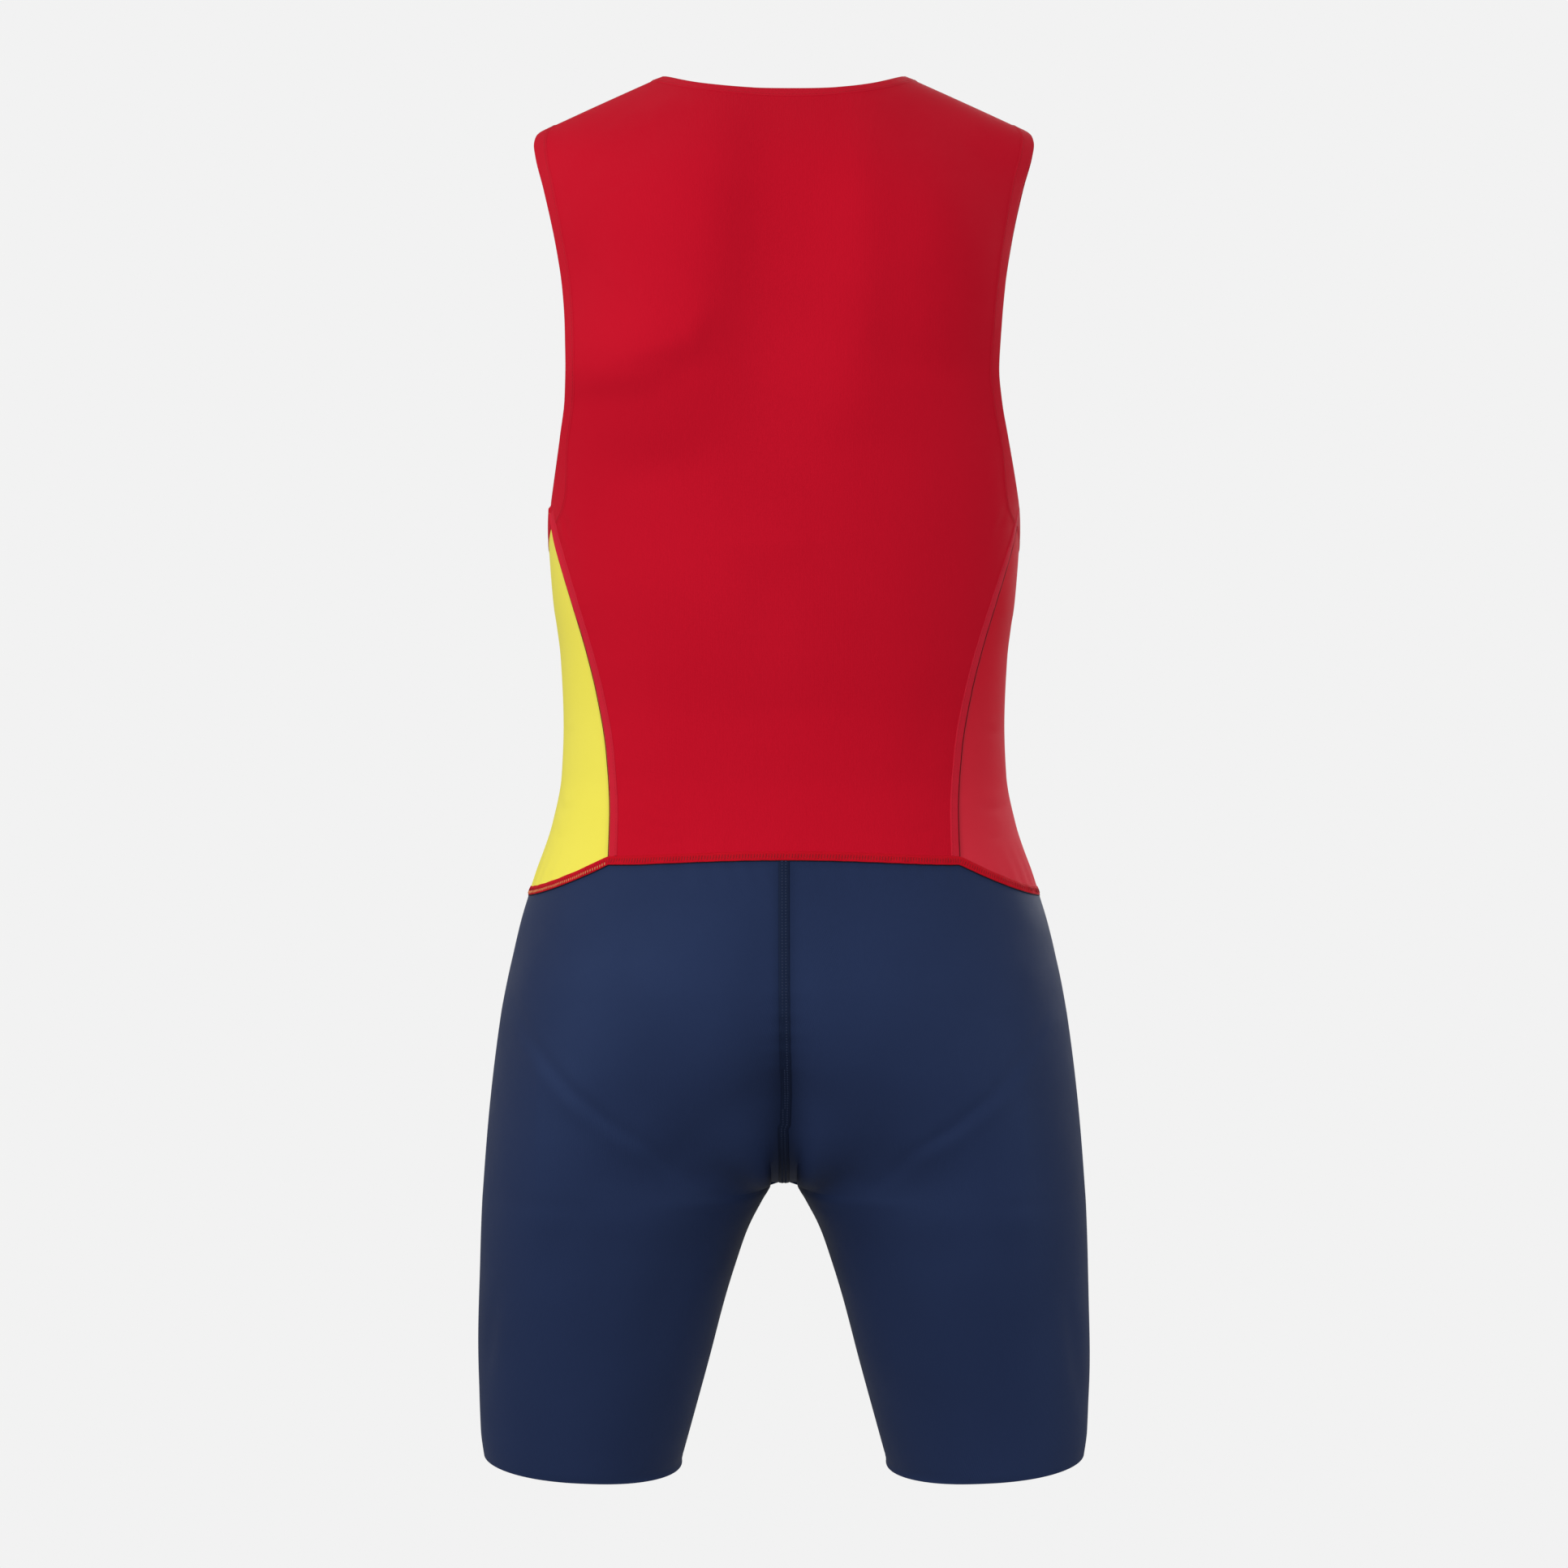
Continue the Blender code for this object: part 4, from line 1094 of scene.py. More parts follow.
RED_TAPE = ClothFinish(
    "red_seam_tape_knit", "red_tape", light=(0.580, 0.0075, 0.0200), dark=(0.520, 0.0060, 0.0170),
    roughness=0.62, specular=0.06, tint=(1.0, 0.15, 0.15), knit=0.50,
)
NAVY_TAPE = ClothFinish(
    "navy_seam_tape_knit", "navy_tape", light=(0.0075, 0.0120, 0.0320), dark=(0.0055, 0.0085, 0.0230),
    roughness=0.55, specular=0.30, tint=(0.26, 0.46, 1.0), knit=0.50,
)
FLAT_SEAM = ClothFinish(
    "red_flat_seam_knit", "red_cloth", light=(0.610, 0.0200, 0.0420), dark=(0.570, 0.0150, 0.0340),
    roughness=0.62, specular=0.06, tint=(1.0, 0.15, 0.20), knit=0.40,
)
RED_THREAD = ThreadFinish("red_thread", "red_tape", (0.540, 0.0070, 0.0200))
DARK_RED_THREAD = ThreadFinish("dark_red_thread", "red_tape", (0.160, 0.0040, 0.0080))
TICK_THREAD = ThreadFinish("dark_red_tick_thread", "red_tape", (0.300, 0.0040, 0.0110))
PEACH_THREAD = ThreadFinish("peach_thread", "red_tape", (0.780, 0.260, 0.110))
NAVY_THREAD = ThreadFinish("navy_thread", "navy_tape", (0.0250, 0.0390, 0.0880))
EDGE_THREAD = ThreadFinish("edge_thread", "navy_tape", (0.0060, 0.0040, 0.0100))


# Making cloth


def from_numbers(name: str, points: Array, faces: list) -> Piece:
    """Make a mesh object from points and faces.

    Args:
        name: The piece's name.
        points: Its points.
        faces: Numbers of the points of each face.

    Returns:
        The piece, in the scene.
    """
    mesh = bpy.data.meshes.new(name)
    mesh.from_pydata(points.tolist(), [], faces)
    mesh.update()
    piece = bpy.data.objects.new(name, mesh)
    bpy.context.scene.collection.objects.link(piece)
    return piece


def choose(piece: Piece) -> None:
    """Select one piece alone and make it active.

    Args:
        piece: The piece.
    """
    bpy.ops.object.select_all(action="DESELECT")
    piece.select_set(True)
    bpy.context.view_layer.objects.active = piece


def edit_all(piece: Piece, step: Callable[[], object]) -> None:
    """Run one editing step on the whole of a piece.

    Args:
        piece: The piece.
        step: The call of the editing tool.
    """
    choose(piece)
    bpy.ops.object.mode_set(mode="EDIT")
    bpy.ops.mesh.select_all(action="SELECT")
    step()
    bpy.ops.object.mode_set(mode="OBJECT")


def dress(piece: Piece, finish: ClothFinish | ThreadFinish) -> None:
    """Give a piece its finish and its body.

    Args:
        piece: The piece.
        finish: Its cloth or thread.
    """
    piece.data.materials.append(finish.material())
    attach(piece, BODY)


def set_map(mesh: bpy.types.Mesh, pairs: Array) -> None:
    """Give a mesh its cloth map, from a pair of metres for each of its points.

    Args:
        mesh: The mesh.
        pairs: Metres across and along for each point.
    """
    corner = np.empty(len(mesh.loops), dtype=int)
    mesh.loops.foreach_get("vertex_index", corner)
    mesh.uv_layers.new(name=CLOTH_MAP).data.foreach_set("uv", pairs[corner].ravel())


def run_lengths(points: Array) -> Array:
    """Distance along a line of points, from 0 at its start.

    Args:
        points: The line, along the first axis.

    Returns:
        The distance at each point.
    """
    steps = np.linalg.norm(np.diff(points, axis=0), axis=-1)
    return np.concatenate([np.zeros((1, *steps.shape[1:])), np.cumsum(steps, axis=0)])


class Skin:
    """The outside of the sheets of cloth, on which bands, tapes and stitches are laid."""

    def __init__(self) -> None:
        """Start with no sheet."""
        self.points: list[Array] = []
        self.normals: list[Array] = []
        self.faces: list[Array] = []
        self.tree: BVHTree | None = None
        self.all_points = np.empty((0, 3))
        self.all_normals = np.empty((0, 3))
        self.all_faces = np.empty((0, 4), dtype=int)

    def add(self, points: Array, normals: Array) -> None:
        """Add a sheet, given as rows and columns of points with their normals.

        Args:
            points: The sheet's points.
            normals: Its outward directions.
        """
        rows, columns = points.shape[:2]
        start = sum(len(part) for part in self.points)
        index = start + np.arange(rows * columns).reshape(rows, columns)
        corners = (index[:-1, :-1], index[:-1, 1:], index[1:, 1:], index[1:, :-1])
        self.points.append(points.reshape(-1, 3))
        self.normals.append(normals.reshape(-1, 3))
        self.faces.append(np.stack(corners, axis=-1).reshape(-1, 4))

    def close(self) -> None:
        """Make the search tree, once every sheet is in."""
        self.all_points = np.concatenate(self.points)
        self.all_normals = np.concatenate(self.normals)
        self.all_faces = np.concatenate(self.faces)
        self.tree = BVHTree.FromPolygons(self.all_points.tolist(), self.all_faces.tolist())

    def rest(self, points: Array) -> tuple[Array, Array]:
        """Put points on the cloth.

        Args:
            points: Points near the cloth.

        Returns:
            The nearest points of the cloth, and its outward directions there.
        """
        found, outward = [], []
        for point in points.reshape(-1, 3):
            place, _, face, _ = self.tree.find_nearest(point.tolist())
            corners = self.all_faces[face]
            gaps = np.linalg.norm(self.all_points[corners] - np.array(place), axis=1)
            weights = 1.0 / (gaps + SHORTEST_GAP)
            outward.append((self.all_normals[corners] * weights[:, None]).sum(axis=0) / weights.sum())
            found.append(tuple(place))
        return np.array(found).reshape(points.shape), unit(np.array(outward)).reshape(points.shape)


@dataclass
class Sheet:
    """A cut piece of cloth: a fine grid laid on the form, with its creases, its wall and its reverse."""

    name: str
    columns: int
    rows: int
    place: Callable[[Array, Array], Array]
    relief: Callable[[Array], Array]
    # Mask of the painted shade beside the seams.
    seam_near: Callable[[Array, Array], Array]
    finish: ClothFinish
    wall: float = 0.0011
    flip: bool = False
    sideways: float = 1.0

    def make(self, skin: Skin) -> Piece:
        """Lay the grid, give it its relief, map and wall, and dress it.

        Args:
            skin: The cloth's outside, which takes this sheet's.

        Returns:
            The finished piece.
        """
        bpy.ops.object.select_all(action="DESELECT")
        bpy.ops.mesh.primitive_grid_add(x_subdivisions=self.columns, y_subdivisions=self.rows, size=1.0)
        piece = bpy.context.active_object
        piece.name = piece.data.name = self.name
        mesh = piece.data
        flat = np.empty(len(mesh.vertices) * 3)
        mesh.vertices.foreach_get("co", flat)
        flat = flat.reshape(-1, 3) + 0.5
        column = np.rint(flat[:, 0] * self.columns).astype(int)
        row = np.rint(flat[:, 1] * self.rows).astype(int)
        across, up = np.meshgrid(
            np.arange(self.columns + 1) / self.columns, np.arange(self.rows + 1) / self.rows
        )
        points = self.place(1.0 - across if self.flip else across, up)
        normals = self.outward(points)
        push = normals * np.array([self.sideways, 1.0, self.sideways])
        points = points + push * self.relief(points)[..., None]
        normals = self.outward(points)
        skin.add(points, normals)
        mesh.vertices.foreach_set("co", points[row, column].ravel())
        across_run = run_lengths(points.swapaxes(0, 1)).T
        across_run = across_run - across_run[:, [self.columns // 2]]
        set_map(mesh, np.stack([across_run[row, column], run_lengths(points)[row, column]], axis=-1))
        # Store the mask of the painted shade beside the seams.
        near = mesh.attributes.new(SEAM_SHADE_MASK, "FLOAT", "POINT")
        near.data.foreach_set("value", self.seam_near(across, up)[row, column].ravel())
        edit_all(piece, lambda: bpy.ops.mesh.remove_doubles(threshold=MERGE_DISTANCE))
        self.give_wall(piece)
        return piece

    def outward(self, points: Array) -> Array:
        """Outward directions of the grid, from its columns and rows.

        Args:
            points: Points of the sheet, in rows and columns.

        Returns:
            Directions of length 1.
        """
        along = np.gradient(points, axis=1)
        up = np.gradient(points, axis=0)
        return unit(np.cross(along, up))

    def give_wall(self, piece: Piece) -> None:
        """Thicken the sheet inwards, smooth it and dress it.

        Args:
            piece: The sheet, still a single layer.
        """
        wall = piece.modifiers.new("wall", "SOLIDIFY")
        wall.thickness = self.wall
        wall.offset = -1.0
        choose(piece)
        bpy.ops.object.modifier_apply(modifier="wall")
        bpy.ops.object.shade_smooth_by_angle(angle=SHEET_SMOOTH_ANGLE)
        dress(piece, self.finish)


def directions(points: Array, closed: bool) -> Array:
    """Direction of a path at each of its points, at any length.

    Args:
        points: The path.
        closed: Whether the path is a ring.

    Returns:
        The directions.
    """
    if closed:
        return np.roll(points, -1, axis=0) - np.roll(points, 1, axis=0)
    return np.gradient(points, axis=0)


@dataclass
class Band:
    """A narrow strip laid on the cloth along a path: a binding, a seam tape or a flat seam."""

    name: str
    path: Array
    toward: Array
    width: float | Array
    lift: float
    finish: ClothFinish
    closed: bool = False
    floor: float = 0.00005
    shoulders: tuple[float, ...] = (0.0, 0.05, 0.16, 0.5, 0.84, 0.95, 1.0)
    rises: tuple[float, ...] = (0.15, 0.75, 1.0, 1.0, 1.0, 0.75, 0.15)
    centred: bool = False

    def frame_lines(self, skin: Skin) -> tuple[Array, Array, Array]:
        """Work out the path on the cloth.

        Args:
            skin: The cloth's outside.

        Returns:
            The path's points on the cloth, its outward directions, and its directions across.
        """
        points, outward = skin.rest(self.path)
        across = unit(np.cross(outward, unit(directions(points, self.closed))))
        side = np.sign(np.sum(across * self.toward, axis=-1, keepdims=True))
        return points, outward, across * np.where(side == 0.0, 1.0, side)

    def make(self, skin: Skin) -> Piece:
        """Lay the strip on the cloth.

        Args:
            skin: The cloth's outside.

        Returns:
            The finished piece.
        """
        points, _, across = self.frame_lines(skin)
        offsets = np.array(self.shoulders) - (0.5 if self.centred else 0.0)
        width = np.broadcast_to(self.width, len(points))[:, None]
        tops, bottoms = [], []
        for offset, rise in zip(offsets, self.rises):
            seat, outward = skin.rest(points + across * offset * width)
            tops.append(seat + outward * (self.floor + self.lift * rise))
            bottoms.append(seat + outward * self.floor)
        ring = np.stack(tops + [bottoms[-1], bottoms[0]], axis=1)
        count, around = ring.shape[:2]
        faces = []
        for i in range(count if self.closed else count - 1):
            here, there = i * around, (i + 1) % count * around
            for k in range(around):
                after = (k + 1) % around
                faces.append((here + k, here + after, there + after, there + k))
        if not self.closed:
            faces.append(tuple(range(around)))
            faces.append(tuple(range(count * around - 1, (count - 1) * around - 1, -1)))
        piece = from_numbers(self.name, ring.reshape(-1, 3), faces)
        over, along = np.meshgrid(run_lengths(ring[0]), run_lengths(ring[:, 0]))
        set_map(piece.data, np.stack([over, along], axis=-1).reshape(-1, 2))
        edit_all(piece, lambda: bpy.ops.mesh.normals_make_consistent(inside=False))
        bpy.ops.object.shade_smooth_by_angle(angle=BAND_SMOOTH_ANGLE)
        dress(piece, self.finish)
        return piece


@dataclass(frozen=True)
class Stitch:
    """The size of one stitch, and the step from each to the next."""

    pitch: float
    length: float
    breadth: float
    height: float
    segments: int = 8
    rings: int = 4
    foot: float = -0.4


BINDING_STITCH = Stitch(0.0021, 0.0015, 0.00045, 0.00016)
SEAM_STITCH = Stitch(0.0022, 0.0015, 0.0004, 0.00014)
SEAM_EDGE_STITCH = Stitch(0.0010, 0.0016, 0.0006, 0.00026)
WAIST_TICK = Stitch(0.00177, 0.0034, 0.0005, 0.00018)
WAIST_EDGE_STITCH = Stitch(0.0011, 0.0016, 0.0007, 0.00030)
PEACH_STITCH = Stitch(0.00177, 0.0022, 0.0009, 0.00030)
RISE_STITCH = Stitch(0.0018, 0.0011, 0.0010, 0.00022)


@dataclass
class Stitching:
    """A row of equal stitches along a path on the cloth."""

    name: str
    path: Array
    toward: Array
    offset: float | Array
    size: Stitch
    lift: float
    finish: ThreadFinish
    turned: float = 0.0
    closed: bool = False

    def make(self, skin: Skin) -> Piece:
        """Model one stitch, and set a copy at each step of the row.

        Args:
            skin: The cloth's outside.

        Returns:
            The finished row of stitches.
        """
        line = Band(self.name, self.path, self.toward, 0.0, 0.0, RED, self.closed)
        points, _, across = line.frame_lines(skin)
        seats, _ = skin.rest(points + across * np.broadcast_to(self.offset, len(points))[:, None])
        seats, outward = skin.rest(evenly(seats, self.size.pitch, self.closed))
        along = unit(directions(seats, self.closed))
        sideways = np.cross(outward, along)
        cosine, sine = math.cos(self.turned), math.sin(self.turned)
        lengthwise = along * cosine + sideways * sine
        crosswise = np.cross(outward, lengthwise)
        model, faces = self.model()
        copies = (
            seats[:, None]
            + outward[:, None] * (self.lift + model[None, :, 2:] * self.size.height)
            + lengthwise[:, None] * model[None, :, :1] * self.size.length / 2.0
            + crosswise[:, None] * model[None, :, 1:2] * self.size.breadth / 2.0
        )
        starts = range(0, len(seats) * len(model), len(model))
        all_faces = [[start + corner for corner in face] for start in starts for face in faces]
        piece = from_numbers(self.name, copies.reshape(-1, 3), all_faces)
        piece.data.shade_smooth()
        dress(piece, self.finish)
        return piece

    def model(self) -> tuple[Array, list]:
        """One stitch: a small ball of a few faces, flattened at its foot.

        Returns:
            Its points, within 1 of its middle, and its faces.
        """
        bpy.ops.object.select_all(action="DESELECT")
        bpy.ops.mesh.primitive_uv_sphere_add(
            segments=self.size.segments, ring_count=self.size.rings, radius=1.0
        )
        ball = bpy.context.active_object
        points = np.array([tuple(vert.co) for vert in ball.data.vertices])[:, [2, 0, 1]]
        points[:, 2] = np.maximum(points[:, 2], self.size.foot)
        faces = [list(face.vertices) for face in ball.data.polygons]
        bpy.data.objects.remove(ball, do_unlink=True)
        return points, faces


def evenly(points: Array, pitch: float, closed: bool) -> Array:
    """Points at even steps along a path.

    Args:
        points: The path.
        pitch: Step wanted, which is fitted to the path's length.
        closed: Whether the path is a ring.

    Returns:
        The new points, with the first one not repeated on a ring.
    """
    line = np.concatenate([points, points[:1]]) if closed else points
    ends = run_lengths(line)
    count = max(2, round(ends[-1] / pitch))
    marks = np.linspace(0.0, ends[-1], count + 1)
    marks = marks[:-1] if closed else marks
    return np.stack([np.interp(marks, ends, line[:, axis]) for axis in range(3)], axis=-1)


# The parts of the suit


@dataclass
class Top:
    """The sleeveless top: back, front and side panels."""

    cut: Cut
    columns: int = 132
    rows: int = 196
    side_columns: int = 56
    side_rows: int = 84
    pucker_pitch: float = 0.0125
    pucker_height: float = 0.00016
    pucker_fade: float = 0.0100
    shoulder_fade: float = 0.0450
    waist_rise: float = 0.0020
    side_waist_rise: float = 0.0100
    side_pucker_share: float = 1.6
    side_pucker_fade: float = 0.0140
    side_shift: float = 0.3
    right_squeeze: float = 0.8
    far: float = 1.0
    # Sizes for the mask of the painted shade beside the seams.
    column_width: float = 0.0029
    side_width: float = 0.1650
    seam_length: float = 0.2225
    shade_reach: float = 0.0022
    side_shade_reach: float = 0.0018
    last_row: float = 0.999
    push_sideways: float = 0.2

    def back_point(self, across: Array, rise: Array) -> Array:
        """Points of the back panel, from the wearer's left edge to the right one."""
        return self.cut.panel_point(1.0 - 2.0 * across, self.cut.edge_height(rise), True)

    def front_point(self, across: Array, rise: Array) -> Array:
        """Points of the front panel, from the wearer's right edge to the left one."""
        return self.cut.panel_point(2.0 * across - 1.0, self.cut.edge_height(rise), False)

    def side_point(self, across: Array, rise: Array) -> Array:
        """Points of the left side panel, from the front seam to the back seam."""
        return self.cut.side_point(2.0 * across - 1.0, rise)

    def panel_relief(self, points: Array, creases: tuple[Crease, ...]) -> Array:
        """Creases of the back or front panel, and puckers beside its seams.

        Args:
            points: Points of the sheet, in rows and columns.
            creases: The panel's creases.

        Returns:
            The lift in metres.
        """
        x, z = points[..., 0], points[..., 2]
        from_waist = np.abs(z - self.cut.waist_corner - self.waist_rise)
        from_side = np.where(z < self.cut.armhole_corner, np.abs(self.cut.seam_out(z) - np.abs(x)), self.far)
        waist = puckers(x, from_waist, self.pucker_pitch, self.pucker_height, self.pucker_fade)
        side = puckers(z, from_side, self.pucker_pitch, self.pucker_height, self.pucker_fade)
        held = smooth((self.cut.trunk.shoulder_line(x) - z) / self.shoulder_fade)
        return folds(creases, x, z) * held + waist + side

    def side_relief(self, points: Array, side: Side) -> Array:
        """Creases of a side panel, seen from its side, and puckers over the waist.

        Args:
            points: Points of the sheet, in rows and columns.
            side: The side of the wearer.

        Returns:
            The lift in metres.
        """
        y, z = points[..., 1], points[..., 2]
        from_waist = np.abs(z - self.cut.waist_side - self.side_waist_rise)
        height = self.pucker_height * self.side_pucker_share
        along = y + self.side_shift * side.value
        waist = puckers(along, from_waist, self.pucker_pitch, height, self.side_pucker_fade)
        squeeze = 1.0 if side is Side.LEFT else self.right_squeeze
        return folds(SIDE_CREASES, y * squeeze, z) + waist

    def seam_near(self, across: Array, rise: Array) -> Array:
        """Mask of the painted shade beside the seams: how near each point is to a sewn edge, 0 to 1.

        Args:
            across: Share of the way across the sheet's row.
            rise: Share of the way up the sheet's rows.

        Returns:
            The nearness of each point.
        """
        at_side = np.minimum(across, 1.0 - across) * (self.columns * self.column_width)
        at_waist = rise / self.cut.row_share_below * self.seam_length
        near = np.maximum(bell(at_side, self.shade_reach), bell(at_waist, self.shade_reach))
        return near * (rise < self.last_row)

    def side_seam_near(self, across: Array, rise: Array) -> Array:
        """Mask of the painted shade beside a side panel's seams: how near each point is to a sewn edge, 0 to
        1.

        Args:
            across: Share of the way across the sheet's row.
            rise: Share of the way up the sheet's rows.

        Returns:
            The nearness of each point.
        """
        at_side = np.minimum(across, 1.0 - across) * self.side_width
        at_waist = rise * self.seam_length
        return np.maximum(bell(at_side, self.side_shade_reach), bell(at_waist, self.shade_reach))

    def make(self, skin: Skin) -> dict[str, Piece]:
        """Make the four panels.

        Args:
            skin: The cloth's outside.

        Returns:
            Each panel by the node that it replaces.
        """
        pieces = {}
        for label, place, creases in (
            ("back", self.back_point, BACK_CREASES), ("front", self.front_point, FRONT_CREASES)
        ):
            pieces[f"{label}_panel"] = Sheet(
                f"{label}_cloth", self.columns, self.rows, place,
                lambda points, creases=creases: self.panel_relief(points, creases), self.seam_near, RED,
                sideways=self.push_sideways,
            ).make(skin)
        for side, finish in ((Side.LEFT, YELLOW), (Side.RIGHT, PALE_RED)):
            pieces[f"side_panel_{side.label}"] = Sheet(
                f"side_cloth_{side.label}", self.side_columns, self.side_rows,
                lambda across, rise, side=side: self.side_point(across, rise) * side.mirror,
                lambda points, side=side: self.side_relief(points, side), self.side_seam_near, finish,
                flip=side is Side.RIGHT,
            ).make(skin)
        for node, piece in pieces.items():
            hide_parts(node)
            LOG.info("made %s", piece.name)
        return pieces


@dataclass
class Shorts:
    """The two halves of the shorts, each half of the hips and one leg."""

    form: LegForm
    columns: int = 196
    rows: int = 150
    band_columns: int = 3
    crotch_clear: float = 0.0120
    crotch_fade: float = 0.0600
    soft_columns: int = 2
    soft_rounds: int = 3
    soft_reach: float = 14.0
    soft_height: float = 0.0350
    pucker_pitch: float = 0.0140
    pucker_height: float = 0.00016
    pucker_fade: float = 0.0110
    right_sway: float = 0.0030
    turn_start: float = 0.0100
    turn_reach: float = 0.0300
    hem_draw: float = 0.0004
    hem_reach: float = 0.0016
    # Sizes for the mask of the painted shade beside the seams.
    half_round: float = 0.5600
    waist_to_hem: float = 0.3600
    centre_shade_reach: float = 0.0060
    waist_shade_reach: float = 0.0022
    shade_fade: float = 0.03

    def place(self, across: Array, rise: Array, side: Side) -> Array:
        """Points of one half, with flat strips beside the centre seam at both ends of a row.

        Args:
            across: Share of the way across the sheet's row.
            rise: Share of the way up the sheet's rows.
            side: The side of the wearer.

        Returns:
            The points of the half.
        """
        total = self.columns + 2 * self.band_columns
        column = np.rint(across * total)
        step = np.clip((column - self.band_columns) / self.columns, 0.0, 1.0)
        points = self.form.point(step, self.form.height(step, rise))
        into = np.minimum(column, total - column) / self.band_columns
        flat = self.form.flat_half * into
        above = rise >= self.form.leg_share - LEVEL_SLACK
        x = np.where((into < 1.0) & above, flat, points[..., 0])
        depth = self.soften(points, column, total)
        return stack(x * side.value, depth, points[..., 2])

    def soften(self, points: Array, column: Array, total: int) -> Array:
        """Round the cloth over the centre seam, more so higher above the crotch.

        Args:
            points: Rows of points of one half.
            column: The number of each point's column.
            total: The number of the last column.

        Returns:
            The points' new Y.
        """
        depth = points[..., 1]
        span = self.soft_columns
        for _ in range(self.soft_rounds):
            wide = np.concatenate([depth[:, span:0:-1], depth, depth[:, -2:-span - 2:-1]], axis=1)
            depth = sum(wide[:, i:i + total + 1] for i in range(2 * span + 1)) / (2 * span + 1)
        near = smooth(1.0 - np.minimum(column, total - column) / self.soft_reach)
        high = smooth((points[..., 2] - self.form.crotch) / self.soft_height)
        return points[..., 1] + (depth - points[..., 1]) * near * high

    def relief(self, points: Array, side: Side) -> Array:
        """Creases of one half, and puckers beside the waist and the centre seam.

        Args:
            points: Points of the sheet, in rows and columns.
            side: The side of the wearer.

        Returns:
            The lift in metres.
        """
        x, y, z = np.abs(points[..., 0]), points[..., 1], points[..., 2]
        sway = self.right_sway if side is Side.RIGHT else 0.0
        behind = smooth((y + self.turn_start) / self.turn_reach)
        before = smooth((self.turn_start - y) / self.turn_reach)
        clear = smooth((np.hypot(x, z - self.form.crotch) - self.crotch_clear) / self.crotch_fade)
        worn = folds(SEAT_CREASES, x + sway, z + sway) * behind + folds(LAP_CREASES, x - sway, z) * before
        from_waist = np.abs(z - self.form.cut.waist_corner)
        ripple = (self.pucker_pitch, self.pucker_height, self.pucker_fade)
        waist = puckers(points[..., 0] + y, from_waist, *ripple)
        centre = puckers(z, x, *ripple)
        hem = -self.hem_draw * bell(z - self.form.hem, self.hem_reach)
        return (worn + centre * (z > self.form.crotch)) * clear + waist + hem

    def seam_near(self, across: Array, rise: Array) -> Array:
        """Mask of the painted shade beside the seams: how near each point is to a sewn edge, 0 to 1.

        Args:
            across: Share of the way across the sheet's row.
            rise: Share of the way up the sheet's rows.

        Returns:
            The nearness of each point.
        """
        above = smooth((rise - self.form.leg_share) / self.shade_fade)
        at_centre = np.minimum(across, 1.0 - across) * self.half_round
        at_waist = (1.0 - rise) * self.waist_to_hem
        at_centre_seam = bell(at_centre, self.centre_shade_reach) * above
        return np.maximum(at_centre_seam, bell(at_waist, self.waist_shade_reach))

    def make(self, skin: Skin) -> dict[str, Piece]:
        """Make both halves.

        Args:
            skin: The cloth's outside.

        Returns:
            Each half by the node that it replaces.
        """
        pieces = {}
        for side in Side:
            piece = Sheet(
                f"shorts_cloth_{side.label}", self.columns + 2 * self.band_columns, self.rows,
                lambda across, rise, side=side: self.place(across, rise, side),
                lambda points, side=side: self.relief(points, side), self.seam_near, NAVY,
                flip=side is Side.RIGHT,
            ).make(skin)
            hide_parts(f"shorts_{side.label}")
            pieces[f"shorts_{side.label}"] = piece
            LOG.info("made %s", piece.name)
        return pieces


